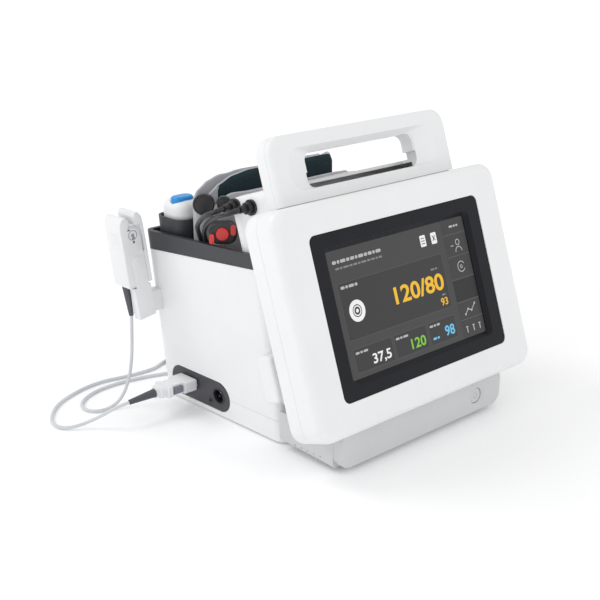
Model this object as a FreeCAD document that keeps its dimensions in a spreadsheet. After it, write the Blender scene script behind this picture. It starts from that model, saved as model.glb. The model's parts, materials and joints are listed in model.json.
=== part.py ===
import FreeCAD, Part
import math
import os
import Sketcher
from FreeCAD import Placement, Rotation, Vector

# Free-standing vital-signs monitor: a display head that leans back on a foot, a housing behind it with a
# storage basket, the cuffs, hoses and ear thermometer kept in the basket, and a finger sensor with its lead.
# Frame: +X to the right of someone facing the screen, +Y to the back, +Z up. The origin is the middle of the
# stand boss on the underside, in the plane of the feet. Millimetres and degrees.

SIZES = {
    # the head: a slab that leans back, drawn in its own frame (u right, v up the screen, w out of it)
    "lean": 18.65,
    "screen_back": -98.0,
    "screen_high": 120.0,
    "head_wide": 254.0,
    "head_tall": 175.0,
    "head_mid": 0.5,
    "head_corner": 14.0,
    "front_deep": 19.5,
    "head_deep": 35.5,
    "wall": 2.5,
    "seam": 0.2,
    "window_wide": 193.7,
    "window_tall": 127.1,
    "window_corner": 6.0,
    "glass_wide": 169.4,
    "glass_tall": 108.4,
    "glass_thick": 1.1,
    "view_wide": 160.0,
    "view_tall": 99.0,
    "bezel_drop": 3.6,
    # the carrying handle and the hump behind it
    "handle_wide": 199.0,
    "handle_top": 141.5,
    "handle_front": 18.7,
    "handle_split": 24.2,
    "handle_back": 37.0,
    "grip_wide": 122.0,
    "grip_low": 98.5,
    "grip_high": 125.5,
    "flare_wide": 166.0,
    "flare_low": 97.5,
    "flare_high": 130.0,
    "hump_wide": 198.0,
    "hump_top": 104.4,
    "hump_low": 52.0,
    "hump_back": 78.0,
    "port_front_up": 94.1,
    "port_rear_up": 97.7,
    "port_front_w": 52.0,
    "port_rear_w": 70.5,
    # the foot under the head
    "foot_wide": 194.0,
    "foot_front": -115.0,
    "foot_joint": -106.0,
    "foot_back": -46.0,
    "foot_low": 4.0,
    "foot_high": 32.5,
    "fascia_high": 37.0,
    "fascia_corner": 11.0,
    "button_side": 63.7,
    "button_high": 19.3,
    "button_radius": 6.6,
    "dish_radius": 10.0,
    # the rear housing, drafted outwards as it rises
    "low_wide": 184.0,
    "low_front": -45.5,
    "low_back": 109.0,
    "low_z": 1.6,
    "high_wide": 209.0,
    "high_front": -31.0,
    "high_back": 115.5,
    "high_z": 156.0,
    "housing_corner": 9.0,
    "tray_high": 20.0,
    "rim_front_z": 157.0,
    "rim_back_z": 150.0,
    "band_front_z": 145.5,
    "band_back_z": 133.5,
    "bucket_floor": 64.0,
    "bolt_spacing": 60.0,
    "bolt_radius": 2.0,
    "foot_radius": 6.0,
    # the side panel with its sockets
    "panel_mid": 57.5,
    "panel_high": 19.2,
    "panel_long": 77.0,
    "panel_tall": 27.0,
    "socket_mid": 33.0,
    "socket_high": 19.5,
    "plug_mid": 71.0,
    "plug_high": 22.0,
    "plug_wide": 22.0,
    "plug_tall": 10.0,
    # the finger sensor on its holder
    "clip_x": -126.5,
    "clip_y": 109.0,
    "clip_z": 150.0,
    "clip_half": 11.0,
    "jaw_low": -42.0,
    "clip_lean": 9.0,
    "pin_radius": 1.5,
    # soft goods
    "small_cuff_left": -86.0,
    "small_cuff_right": 79.0,
    "small_cuff_front": 32.0,
    "small_cuff_back": 48.0,
    "small_cuff_top": 188.0,
    "large_cuff_left": -91.0,
    "large_cuff_right": 60.0,
    "large_cuff_front": 52.0,
    "large_cuff_back": 70.0,
    "large_cuff_top": 203.0,
    "hose_radius": 1.9,
    "cord_radius": 1.4,
}


class Size:
    """A number together with the spreadsheet expression that it comes from."""

    def __init__(self, number, text):
        self.number = number
        self.text = text

    def _join(self, other, sign, number):
        text = other.text if isinstance(other, Size) else repr(float(other))
        return Size(number, f"({self.text} {sign} {text})")

    def __add__(self, other):
        return self._join(other, "+", self.number + number_of(other))

    def __sub__(self, other):
        return self._join(other, "-", self.number - number_of(other))

    def __mul__(self, other):
        return self._join(other, "*", self.number * number_of(other))

    def __truediv__(self, other):
        return self._join(other, "/", self.number / number_of(other))

    def __neg__(self):
        return Size(-self.number, f"(-1 * {self.text})")


def number_of(value):
    return value.number if isinstance(value, Size) else float(value)


def text_of(value):
    return value.text if isinstance(value, Size) else repr(float(value))


doc = FreeCAD.newDocument("PatientMonitor")
sheet = doc.addObject("Spreadsheet::Sheet", "Sizes")
for row, (alias, value) in enumerate(SIZES.items(), start=1):
    sheet.set(f"A{row}", alias)
    sheet.set(f"B{row}", str(value))
    sheet.setAlias(f"B{row}", alias)
doc.recompute()


def size(alias):
    """A driving dimension from the sheet."""
    return Size(SIZES[alias], f"Sizes.{alias}")


def bind(thing, path, value):
    thing.setExpression(path, text_of(value))


nodes = []


def keep(thing, label):
    """Name a finished sub-part; its label is the name of its file."""
    thing.Label = label
    nodes.append(thing)
    return thing


def place(thing, at=(0, 0, 0), turn=None):
    """Bind a placement: at is a point, turn an axis and an angle."""
    if turn:
        axis, angle = turn
        thing.Placement = Placement(Vector(), Rotation(Vector(*axis), number_of(angle)))
        bind(thing, "Placement.Rotation.Angle", angle)
    for letter, value in zip("xyz", at):
        bind(thing, f"Placement.Base.{letter}", value)
    return thing


HEAD_TURN = ((1, 0, 0), Size(90 - SIZES["lean"], "(90 - Sizes.lean)"))


def in_head(thing):
    """Stand a piece drawn in the screen's own frame in its place on the leaning head."""
    return place(thing, (0, size("screen_back"), size("screen_high")), HEAD_TURN)


def new_body(name, at=(0, 0, 0), turn=None):
    return place(doc.addObject("PartDesign::Body", name), at, turn)


def head_body(name):
    return in_head(doc.addObject("PartDesign::Body", name))


def new_sketch(body, role="XY_Plane", at=(0, 0), level=0):
    """A sketch on one of the body's own planes, moved in that plane and along its normal."""
    sketch = body.newObject("Sketcher::SketchObject", body.Name + "_sketch")
    origin = next(plane for plane in body.Origin.OriginFeatures if plane.Role == role)
    sketch.AttachmentSupport = [(origin, "")]
    sketch.MapMode = "FlatFace"
    for letter, value in zip("xyz", (*at, level)):
        bind(sketch, f"AttachmentOffset.Base.{letter}", value)
    return sketch


def measure(sketch, kind, *items):
    """Add a dimension whose value, the last item, is bound to the sheet."""
    *ends, value = items
    index = sketch.addConstraint(Sketcher.Constraint(kind, *ends, number_of(value)))
    sketch.setExpression(f"Constraints[{index}]", text_of(value))


def rounded(body, wide, tall, corner, at=(0, 0), level=0, role="XY_Plane"):
    """A rectangle with round corners, centred on the sketch's origin."""
    sketch = new_sketch(body, role, at, level)
    x, y, r = number_of(wide) / 2, number_of(tall) / 2, number_of(corner)
    ends = [(-x + r, -y), (x - r, -y), (x, -y + r), (x, y - r), (x - r, y), (-x + r, y), (-x, y - r), (-x, -y + r)]
    centres = [(x - r, -y + r), (x - r, y - r), (-x + r, y - r), (-x + r, -y + r)]
    for side in range(4):
        start, stop = ends[2 * side], ends[2 * side + 1]
        sketch.addGeometry(Part.LineSegment(Vector(*start, 0), Vector(*stop, 0)), False)
        circle = Part.Circle(Vector(*centres[side], 0), Vector(0, 0, 1), r)
        turn = math.pi / 2 * (side - 1)
        sketch.addGeometry(Part.ArcOfCircle(circle, turn, turn + math.pi / 2), False)
    for item in range(8):
        sketch.addConstraint(Sketcher.Constraint("Tangent", item, 2, (item + 1) % 8, 1))
    for line, way in ((0, "Horizontal"), (2, "Vertical"), (4, "Horizontal"), (6, "Vertical")):
        sketch.addConstraint(Sketcher.Constraint(way, line))
    for arc in (3, 5, 7):
        sketch.addConstraint(Sketcher.Constraint("Equal", 1, arc))
    sketch.addConstraint(Sketcher.Constraint("Symmetric", 0, 1, 4, 1, -1, 1))
    measure(sketch, "Radius", 1, corner)
    measure(sketch, "DistanceX", 6, 1, 2, 1, wide)
    measure(sketch, "DistanceY", 0, 1, 4, 1, tall)
    return sketch


def disc(body, radius, at=(0, 0), level=0, role="XY_Plane"):
    sketch = new_sketch(body, role, at, level)
    circle = Part.Circle(Vector(0, 0, 0), Vector(0, 0, 1), number_of(radius))
    sketch.addGeometry(circle, False)
    sketch.addConstraint(Sketcher.Constraint("Coincident", 0, 3, -1, 1))
    measure(sketch, "Radius", 0, radius)
    return sketch


def outline(body, points, level=0, role="YZ_Plane"):
    """A closed straight-sided outline through points whose coordinates are bound to the sheet."""
    sketch = new_sketch(body, role, (0, 0), level)
    spots = [Vector(number_of(a), number_of(b), 0) for a, b in points]
    count = len(spots)
    for index in range(count):
        sketch.addGeometry(Part.LineSegment(spots[index], spots[(index + 1) % count]), False)
    for index in range(count):
        sketch.addConstraint(Sketcher.Constraint("Coincident", index, 2, (index + 1) % count, 1))
    for index, (across, up) in enumerate(points):
        measure(sketch, "DistanceX", -1, 1, index, 1, across)
        measure(sketch, "DistanceY", -1, 1, index, 1, up)
    return sketch


def pad(body, sketch, length, both=False):
    """Extrude along the sketch's normal, or half each way."""
    feature = body.newObject("PartDesign::Pad", body.Name + "_pad")
    feature.Profile = sketch
    bind(feature, "Length", length)
    if both:
        feature.Midplane = True
    return feature


def pocket(body, sketch, length, both=False):
    """Cut along the sketch's normal, or half each way; the cut has to remove material."""
    doc.recompute()
    before = body.Shape.Volume
    feature = body.newObject("PartDesign::Pocket", body.Name + "_pocket")
    feature.Profile = sketch
    bind(feature, "Length", length)
    if both:
        feature.Midplane = True
    else:
        feature.Reversed = True
    doc.recompute()
    if not body.Shape.Volume < before - 0.01:
        raise RuntimeError(f"{feature.Name} removes nothing")
    return feature


def loft(body, kind, low, high):
    """A ruled loft between two sketches; kind is AdditiveLoft or SubtractiveLoft."""
    feature = body.newObject(f"PartDesign::{kind}", f"{body.Name}_{kind}")
    feature.Profile = low
    feature.Sections = [high]
    feature.Ruled = True
    return feature


def soften(body, radius, chosen, kind="Fillet"):
    """Fillet or chamfer the edges of the body's last feature that chosen(box, edge) accepts."""
    doc.recompute()
    base = body.Tip
    names = [f"Edge{i}" for i, edge in enumerate(base.Shape.Edges, 1) if chosen(edge.BoundBox, edge)]
    if not names:
        raise RuntimeError(f"{body.Name}: no edge to soften")
    feature = body.newObject(f"PartDesign::{kind}", f"{body.Name}_{kind}")
    feature.Base = (base, names)
    bind(feature, "Size" if kind == "Chamfer" else "Radius", radius)
    doc.recompute()
    return feature


def at_level(value, axis="Z"):
    """A test for edges that lie flat at one level of an axis."""
    level = number_of(value)
    low, high = axis + "Min", axis + "Max"
    return lambda box, edge: abs(getattr(box, low) - level) < 0.01 and abs(getattr(box, high) - level) < 0.01


def upright(box, edge):
    """Edges that run along the body's Z."""
    return box.ZLength > 0.5 and box.XLength < 0.01 and box.YLength < 0.01


def box_solid(name, corner, extent, turn=None):
    """A Part box with its low corner and its extents bound to the sheet."""
    thing = doc.addObject("Part::Box", name)
    for prop, value in zip(("Length", "Width", "Height"), extent):
        bind(thing, prop, value)
    return place(thing, corner, turn)


def rod(name, radius, length, at=(0, 0, 0), turn=None):
    thing = doc.addObject("Part::Cylinder", name)
    bind(thing, "Radius", radius)
    bind(thing, "Height", length)
    return place(thing, at, turn)


def taper(name, low_radius, high_radius, length, at=(0, 0, 0), turn=None):
    thing = doc.addObject("Part::Cone", name)
    bind(thing, "Radius1", low_radius)
    bind(thing, "Radius2", high_radius)
    bind(thing, "Height", length)
    return place(thing, at, turn)


def fuse(name, *things):
    thing = doc.addObject("Part::MultiFuse", name)
    thing.Shapes = list(things)
    return thing


def cut(name, base, tool):
    thing = doc.addObject("Part::Cut", name)
    thing.Base = base
    thing.Tool = tool
    return thing


def group(name, *things):
    """Separate solids that share one node."""
    thing = doc.addObject("Part::Compound", name)
    thing.Links = list(things)
    return thing


def housing_loft(body, shrink, low, high, kind="AdditiveLoft"):
    """The drafted form of the rear housing between two heights, made smaller all round by shrink."""
    rise = size("high_z") - size("low_z")
    sections = []
    for height in (low, high):
        share = (height - size("low_z")) / rise if isinstance(height, Size) else None
        wide = size("low_wide") + (size("high_wide") - size("low_wide")) * share - shrink * 2
        front = size("low_front") + (size("high_front") - size("low_front")) * share + shrink
        back = size("low_back") + (size("high_back") - size("low_back")) * share - shrink
        corner = size("housing_corner") - shrink
        sections.append(rounded(body, wide, back - front, corner, (0, (front + back) / 2), height))
    return loft(body, kind, *sections)


def fixed(number):
    """A plain number used where a size is expected."""
    return Size(float(number), repr(float(number)))


AXIS_X, AXIS_Y, AXIS_Z = (1, 0, 0), (0, 1, 0), (0, 0, 1)
OUT_LEFT = (AXIS_Y, fixed(-90))      # turns a piece drawn along +Z to point along -X
INTO_BACK = (AXIS_X, fixed(-90))     # turns a piece drawn along +Z to point along +Y
INTO_CORNER = ((-1, 1, 0), fixed(90))    # turns a piece drawn along +Z to point to the right and back


# ---- the display head -------------------------------------------------------------------------------------
def build_front_cover():
    body = head_body("front_cover")
    pad(body, rounded(body, size("head_wide"), size("head_tall"), size("head_corner"),
                      (0, size("head_mid")), -size("front_deep")), size("front_deep"))
    soften(body, fixed(6), at_level(0))
    inner = size("wall") * 2
    pocket(body, rounded(body, size("head_wide") - inner, size("head_tall") - inner,
                         size("head_corner") - size("wall"), (0, size("head_mid")), -size("front_deep")),
           size("front_deep") - 3.5)
    pocket(body, rounded(body, size("window_wide"), size("window_tall"), size("window_corner"),
                         (0, 0.35), fixed(-8)), fixed(9))
    keep(body, "front_cover")


def build_display():
    """The dark frame in the window, the gasket, the touch glass, the panel behind it and the main board."""
    bezel = head_body("display_bezel")
    deep, face = fixed(9), fixed(-0.5)
    gap = size("seam") * 2
    pad(bezel, rounded(bezel, size("window_wide") - gap, size("window_tall") - gap,
                       size("window_corner") - size("seam"), (0, 0.35), face - deep), deep)
    pocket(bezel, rounded(bezel, size("view_wide"), size("view_tall"), fixed(2), (0, 0), face - deep), deep + 1)
    narrow = number_of(size("view_wide")) / 2 + 1
    soften(bezel, size("bezel_drop"),
           lambda box, edge: at_level(face)(box, edge) and max(abs(box.XMin), abs(box.XMax)) < narrow, "Chamfer")
    ledge = face - size("bezel_drop") - 0.2
    pocket(bezel, rounded(bezel, size("glass_wide") + gap, size("glass_tall") + gap, fixed(3), (0, 0),
                          face - deep), ledge - face + deep)
    keep(bezel, "display_bezel")

    gasket = head_body("display_gasket")
    thick = fixed(0.4)
    pad(gasket, rounded(gasket, size("glass_wide"), size("glass_tall"), fixed(3), (0, 0), ledge - thick), thick)
    pocket(gasket, rounded(gasket, size("view_wide") + 1, size("view_tall") + 1, fixed(2), (0, 0),
                           ledge - thick), thick)
    keep(gasket, "display_gasket")

    glass = head_body("touch_glass")
    front = ledge - thick
    pad(glass, rounded(glass, size("glass_wide"), size("glass_tall"), fixed(3), (0, 0),
                       front - size("glass_thick")), size("glass_thick"))
    keep(glass, "touch_glass")

    panel = head_body("lcd_panel")
    panel_deep = fixed(5)
    panel_front = front - size("glass_thick") - 0.1
    pad(panel, rounded(panel, size("glass_wide") - 4, size("glass_tall") - 4, fixed(1.5), (0, 0),
                       panel_front - panel_deep), panel_deep)
    keep(panel, "lcd_panel")

    board = head_body("main_board")
    board_thick = fixed(1.6)
    board_front = panel_front - panel_deep - 4
    pad(board, rounded(board, fixed(178), fixed(108), fixed(3), (0, 0), board_front - board_thick), board_thick)
    for x, y, wide, tall, high in ((-40, 20, 26, 26, 2.5), (30, 10, 34, 22, 3), (60, -32, 30, 14, 9)):
        pad(board, rounded(board, fixed(wide), fixed(tall), fixed(1), (x, y),
                           board_front - board_thick - high), fixed(high))
    for x in (-84, 84):
        for y in (-49, 49):
            pocket(board, disc(board, fixed(1.7), (x, y), board_front - board_thick - 1), fixed(4))
    keep(board, "main_board")

    speaker = fuse("speaker_parts",
                   in_head_at(rod("speaker_magnet", fixed(10), fixed(5)), (-96, -66, -31)),
                   in_head_at(taper("speaker_basket", fixed(10), fixed(15), fixed(6)), (-96, -66, -26)),
                   in_head_at(rod("speaker_frame", fixed(16), fixed(2)), (-96, -66, -20)))
    keep(speaker, "speaker")


def in_head_at(thing, spot):
    """Put a primitive at a point (u, v, w) of the leaning head's frame, its Z along the screen's normal."""
    u, v, w = spot
    lean = math.radians(SIZES["lean"])
    sine = Size(math.sin(lean), "sin(Sizes.lean * 1 deg)")
    cosine = Size(math.cos(lean), "cos(Sizes.lean * 1 deg)")
    y = size("screen_back") + sine * v - cosine * w
    z = size("screen_high") + cosine * v + sine * w
    return place(thing, (u, y, z), HEAD_TURN)


def build_head_rear():
    """The rear half of the head with the handle's rear half and the hollow hump behind it."""
    body = head_body("head_rear_cover")
    front = -size("front_deep") - size("seam")
    back = -size("head_deep")
    mid = (0, size("head_mid"))
    pad(body, rounded(body, size("head_wide"), size("head_tall"), size("head_corner"), mid, back), front - back)
    soften(body, fixed(5), at_level(back))
    low = fixed(78)
    handle_back = -size("handle_back")
    pad(body, rounded(body, size("handle_wide"), size("handle_top") - low, fixed(14),
                      (0, (size("handle_top") + low) / 2), handle_back),
        size("handle_back") - size("handle_split") - size("seam"))
    soften(body, fixed(5), lambda box, edge: at_level(handle_back)(box, edge) and box.YMax > 100)
    hump_deep = size("hump_back") - size("head_deep") + 6
    pad(body, rounded(body, size("hump_wide"), size("hump_top") - size("hump_low"), fixed(6),
                      (0, (size("hump_top") + size("hump_low")) / 2), -size("hump_back")), hump_deep)
    soften(body, fixed(5), at_level(-size("hump_back")))
    inner = size("wall") * 2
    pocket(body, rounded(body, size("head_wide") - inner, size("head_tall") - inner,
                         size("head_corner") - size("wall"), mid, back + size("wall")),
           front - back - size("wall") + 1)
    pocket(body, rounded(body, size("hump_wide") - inner, size("hump_top") - size("hump_low") - inner, fixed(4),
                         (0, (size("hump_top") + size("hump_low")) / 2), -size("hump_back") + size("wall")),
           size("hump_back") - size("head_deep") + 0.5)
    pocket(body, rounded(body, size("grip_wide"), size("grip_high") - size("grip_low"), fixed(7),
                         (0, (size("grip_high") + size("grip_low")) / 2), handle_back - 0.01),
           size("handle_back") - size("handle_split") + 1)
    pocket(body, rounded(body, size("grip_wide") + 8, fixed(14), fixed(1), (0, size("hump_top") - 1),
                         fixed(-44)), fixed(20))
    for name in ("front", "rear"):
        spot = (size(f"port_{name}_up"), -size(f"port_{name}_w"))
        pocket(body, disc(body, fixed(4.2), spot, -size("hump_wide") / 2 - 1, "YZ_Plane"), fixed(6))
    keep(body, "head_rear_cover")


def build_handle_trim():
    """The front half of the handle, with the flared mouth of the grip opening."""
    body = head_body("handle_front_trim")
    low = size("head_mid") + size("head_tall") / 2 + 0.4
    back = -size("handle_split")
    thick = size("handle_split") - size("handle_front")
    pad(body, outline(body, handle_outline(low), back, "XY_Plane"), thick)
    soften(body, fixed(14), lambda box, edge: upright(box, edge) and box.YMin > 130)
    soften(body, fixed(3), lambda box, edge: at_level(-size("handle_front"))(box, edge) and box.YMax > 100)
    narrow = rounded(body, size("grip_wide") + 3, size("grip_high") - size("grip_low") + 1, fixed(7),
                     (0, (size("grip_high") + size("grip_low")) / 2), back)
    wide = rounded(body, size("flare_wide"), size("flare_high") - size("flare_low"), fixed(12),
                   (0, (size("flare_high") + size("flare_low")) / 2), -size("handle_front"))
    loft(body, "SubtractiveLoft", narrow, wide)
    keep(body, "handle_front_trim")


def handle_outline(low):
    side = size("handle_wide") / 2
    return [(-side, low), (side, low), (side, size("handle_top")), (-side, size("handle_top"))]


def build_hose_ports():
    """Two sockets in the hump's left wall, and the plug of a cuff hose in each."""
    wall = -size("hump_wide") / 2
    ports, plugs = [], []
    for name in ("front", "rear"):
        spot = (size(f"port_{name}_up"), -size(f"port_{name}_w"))
        port = head_body(f"{name}_port")
        pad(port, disc(port, fixed(4.0), spot, wall - 1, "YZ_Plane"), fixed(12))
        pad(port, disc(port, fixed(6.2), spot, wall - 2.1, "YZ_Plane"), fixed(2))
        pocket(port, disc(port, fixed(2.6), spot, wall - 3, "YZ_Plane"), fixed(9))
        ports.append(port)
        plug = head_body(f"{name}_plug")
        pad(plug, disc(plug, fixed(2.5), spot, wall - 2.3, "YZ_Plane"), fixed(7))
        pad(plug, disc(plug, fixed(4.6), spot, wall - 6.3, "YZ_Plane"), fixed(4.1))
        pad(plug, disc(plug, fixed(2.9), spot, wall - 12.3, "YZ_Plane"), fixed(6.2))
        plugs.append(plug)
    keep(group("hose_ports", *ports), "hose_ports")
    keep(group("hose_plugs", *plugs), "hose_plugs")


BOLTS = [(x, y) for x in (-0.5, 0.5) for y in (-0.5, 0.5)]
REAR_FEET = [(x, 92) for x in (-76, 76)]
FRONT_FEET = [(x, -97) for x in (-80, 80)]
SIDE_LUGS = [(x, -22) for x in (-80, 80)]
REAR_LUGS = [(x, 97) for x in (-58, 58)]


# ---- the foot ---------------------------------------------------------------------------------------------
def build_foot():
    frame = new_body("foot_form")
    wide = size("foot_wide")
    low, high = size("foot_low"), size("foot_high")
    joint, back = size("foot_joint") + size("seam"), size("foot_back") - 0.2
    pad(frame, outline(frame, [(joint, low), (back, low + 3.5), (back, high), (joint, high)], -wide / 2), wide)
    soften(frame, fixed(3), lambda box, edge: box.ZMax < 9 and box.YLength > 20)
    pocket(frame, outline(frame, [(joint - 1, low + 3), (back - 3, low + 6), (back - 3, high - 3),
                                  (joint - 1, high - 3)], -wide / 2 + 3), wide - 6)
    for spot in FRONT_FEET:
        pocket(frame, disc(frame, size("foot_radius") + 0.2, spot, fixed(0)), fixed(5.8))
    head_room = box_solid("head_room", (0, 0, 0), (fixed(270), fixed(100), fixed(70)))
    in_head_at(head_room, (fixed(-135), size("head_mid") - size("head_tall") / 2 - 0.3, -size("head_deep") - 0.3))
    keep(cut("foot_frame_cut", frame, head_room), "foot_frame")

    fascia = new_body("fascia_form")
    thick = size("foot_joint") - size("foot_front")
    tall = size("fascia_high") - low
    middle = (0, (size("fascia_high") + low) / 2)
    pad(fascia, rounded(fascia, wide, tall, size("fascia_corner"), middle, -size("foot_joint"), "XZ_Plane"), thick)
    soften(fascia, fixed(2.5), at_level(size("foot_front"), "Y"))
    pocket(fascia, rounded(fascia, wide - 6, tall - 6, size("fascia_corner") - 3, middle,
                           -size("foot_joint") - 1, "XZ_Plane"), thick - 2)
    spot = (size("button_side"), size("button_high"))
    ball = doc.addObject("Part::Sphere", "button_dish")
    dish_deep = fixed(1.6)
    reach = Size(((10 ** 2 + 1.6 ** 2) / (2 * 1.6)), "((Sizes.dish_radius ^ 2 + 1.6 ^ 2) / (2 * 1.6))")
    bind(ball, "Radius", reach)
    place(ball, (spot[0], size("foot_front") + dish_deep - reach, spot[1]))
    bore = rod("button_bore", size("button_radius") + 0.3, fixed(20), (spot[0], size("foot_front") - 4, spot[1]),
               INTO_BACK)
    seat = rod("button_seat", size("button_radius") + 3, fixed(6),
               (spot[0], size("foot_front") + dish_deep + 0.4, spot[1]), INTO_BACK)
    slab = fuse("fascia_with_seat", fascia, seat)
    dished = cut("front_fascia_dished", slab, ball)
    keep(cut("front_fascia_cut", cut("front_fascia_bored", dished, bore), head_room), "front_fascia")


def wire_coil(name, radius, wire, pitch, height):
    """A helical spring that stands along Z."""
    line = doc.addObject("Part::Helix", f"{name}_line")
    bind(line, "Radius", fixed(radius))
    bind(line, "Pitch", fixed(pitch))
    bind(line, "Height", fixed(height))
    section = doc.addObject("Part::Circle", f"{name}_wire")
    bind(section, "Radius", fixed(wire))
    section.Placement = Placement(Vector(radius, 0, 0), Rotation(Vector(1, 0, 0), 90))
    coil = doc.addObject("Part::Sweep", f"{name}_coil")
    coil.Sections = [section]
    coil.Spine = (line, [])
    coil.Solid = True
    coil.Frenet = True
    return coil


def build_power_button():
    """A round push button in a dished recess, its rubber bellows spring and the switch it presses."""
    spot = (size("button_side"), size("foot_front") + 1.2, size("button_high"))
    cap = rod("button_cap", size("button_radius"), fixed(3.0), spot, INTO_BACK)
    cap_edge = doc.addObject("Part::Fillet", "button_cap_round")
    cap_edge.Base = cap
    doc.recompute()
    front = [i for i, edge in enumerate(cap.Shape.Edges, 1) if edge.BoundBox.YMax < number_of(spot[1]) + 0.01]
    cap_edge.Edges = [(i, 0.8, 0.8) for i in front]
    stem = rod("button_stem", fixed(2), fixed(3.0), (spot[0], spot[1] + 3, spot[2]), INTO_BACK)
    keep(fuse("power_button_parts", cap_edge, stem), "power_button")

    sides = []
    for layer, thinner in (("outer", 0.0), ("inner", 0.6)):
        folds = []
        for n in range(4):
            near, far = (3.5, 4.5) if n % 2 == 0 else (4.5, 3.5)
            folds.append(taper(f"bellows_{layer}_{n}", fixed(near - thinner), fixed(far - thinner), fixed(1.2),
                               (spot[0], spot[1] + 3.1 + 1.2 * n, spot[2]), INTO_BACK))
        sides.append(fuse(f"bellows_{layer}", *folds))
    keep(cut("button_bellows", *sides), "button_spring")

    base = spot[1] + 8.4
    board = box_solid("switch_board", (spot[0] - 9, base + 3.2, spot[2] - 7), (fixed(18), fixed(1.6), fixed(14)))
    can = box_solid("switch_can", (spot[0] - 4.5, base + 0.2, spot[2] - 4.5), (fixed(9), fixed(3), fixed(9)))
    keep(fuse("power_switch_parts", board, can), "power_switch")


# ---- the rear housing -------------------------------------------------------------------------------------
def above_line(body, front_z, back_z, top):
    """The region above a line that slopes down to the back, as a side view outline."""
    front, back = size("high_front") - 25, size("high_back") + 10
    run = size("high_back") - size("high_front")
    fall = (front_z - back_z) / run
    return outline(body, [(front, front_z + fall * 25), (back, back_z - fall * 10), (back, top), (front, top)])


def build_base_tray():
    """The tray that closes the housing, with the stand boss, its brass inserts, the feet and the screws."""
    body = new_body("base_tray")
    low, high = size("low_z"), size("tray_high")
    housing_loft(body, fixed(0), low, high)
    housing_loft(body, size("wall"), low + 2.5, high + 0.01, "SubtractiveLoft")
    pad(body, rounded(body, fixed(78), fixed(78), fixed(8)), low + 2.6)
    for x, y in BOLTS:
        spot = (size("bolt_spacing") * x, size("bolt_spacing") * y)
        pad(body, disc(body, fixed(5.5), spot, fixed(0)), fixed(12))
        pocket(body, disc(body, fixed(3), spot, fixed(-1)), fixed(10))
    for x, y in SIDE_LUGS + REAR_LUGS:
        pad(body, disc(body, fixed(4.5), (x, y), low + 1), high - low - 1)
        pocket(body, disc(body, fixed(1.7), (x, y), fixed(0)), high + 1)
        pocket(body, disc(body, fixed(3.3), (x, y), fixed(0)), low + 2.2)
    for x, y in REAR_FEET:
        pocket(body, disc(body, size("foot_radius") + 0.2, (x, y), low - 1), fixed(1.9))
    pocket(body, rounded(body, fixed(84.4), fixed(40.4), fixed(4), (0, 74), fixed(0)), fixed(8))
    pocket(body, panel_hole(body), fixed(30))
    keep(body, "base_tray")

    inserts = []
    for n, (x, y) in enumerate(BOLTS):
        at = (size("bolt_spacing") * x, size("bolt_spacing") * y, fixed(0.2))
        inserts.append(cut(f"insert_{n}", rod(f"insert_{n}_out", fixed(3), fixed(8.7), at),
                           rod(f"insert_{n}_in", size("bolt_radius"), fixed(9), at)))
    keep(group("stand_inserts", *inserts), "stand_inserts")

    feet = [rod(f"rear_foot_{n}", size("foot_radius"), low + 0.8, (x, y, 0)) for n, (x, y) in enumerate(REAR_FEET)]
    feet += [rod(f"front_foot_{n}", size("foot_radius"), size("foot_low") + 1.6, (x, y, 0))
             for n, (x, y) in enumerate(FRONT_FEET)]
    keep(group("rubber_feet", *feet), "rubber_feet")

    screws = []
    for n, (x, y) in enumerate(SIDE_LUGS + REAR_LUGS):
        head = rod(f"screw_head_{n}", fixed(3), fixed(1.9), (x, y, low + 0.2))
        shank = rod(f"screw_shank_{n}", fixed(1.5), fixed(24), (x, y, low + 2.1))
        screws.append(cut(f"screw_{n}", fuse(f"screw_solid_{n}", head, shank),
                          rod(f"screw_drive_{n}", fixed(1.2), fixed(1.2), (x, y, low))))
    keep(group("base_screws", *screws), "base_screws")


def panel_hole(body):
    """The stadium-shaped hole for the side panel, drawn on the housing's side plane."""
    return rounded(body, size("panel_long") + 0.4, size("panel_tall") + 0.4, size("panel_tall") / 2 - 0.1,
                   (size("panel_mid"), size("panel_high")), fixed(-110), "YZ_Plane")


def build_inside():
    """What works inside the housing: battery and its door, pump, valves and the power board."""
    keep(box_solid("battery_case", (-38, 57, 5.2), (fixed(76), fixed(34), fixed(30))), "battery_pack")
    door = new_body("battery_door")
    pad(door, rounded(door, fixed(84), fixed(40), fixed(3.8), (0, 74), size("low_z")), fixed(2.4))
    for x in (-10, 0, 10):
        pocket(door, rounded(door, fixed(5), fixed(20), fixed(2), (x, 74), size("low_z") - 0.5), fixed(1.1))
    keep(door, "battery_door")

    turn = (AXIS_Y, fixed(90))
    can = rod("pump_can", fixed(13), fixed(38), (-66, 20, 36), turn)
    head = box_solid("pump_head", (-28, 6, 22), (fixed(20), fixed(28), fixed(28)))
    nozzle = rod("pump_nozzle", fixed(2.2), fixed(9), (-8, 20, 36), turn)
    keep(fuse("pump_parts", can, head, nozzle), "pump")

    block = box_solid("valve_body", (14, 8, 22), (fixed(36), fixed(24), fixed(18)))
    coils = [rod(f"valve_coil_{n}", fixed(6), fixed(16), (22 + 20 * n, 20, 40)) for n in range(2)]
    inlet = rod("valve_inlet", fixed(2.2), fixed(8), (6, 20, 31), turn)
    keep(fuse("valve_parts", block, inlet, *coils), "valve_block")

    board = box_solid("power_board_plate", (-60, -35, 22.5), (fixed(120), fixed(36), fixed(1.6)))
    core = box_solid("power_coil", (-30, -31, 24.1), (fixed(22), fixed(20), fixed(14)))
    caps = [rod(f"power_cap_{n}", fixed(6), fixed(18), (10 + 16 * n, -20, 24.1)) for n in range(2)]
    keep(fuse("power_board_parts", board, core, *caps), "power_board")


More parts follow.
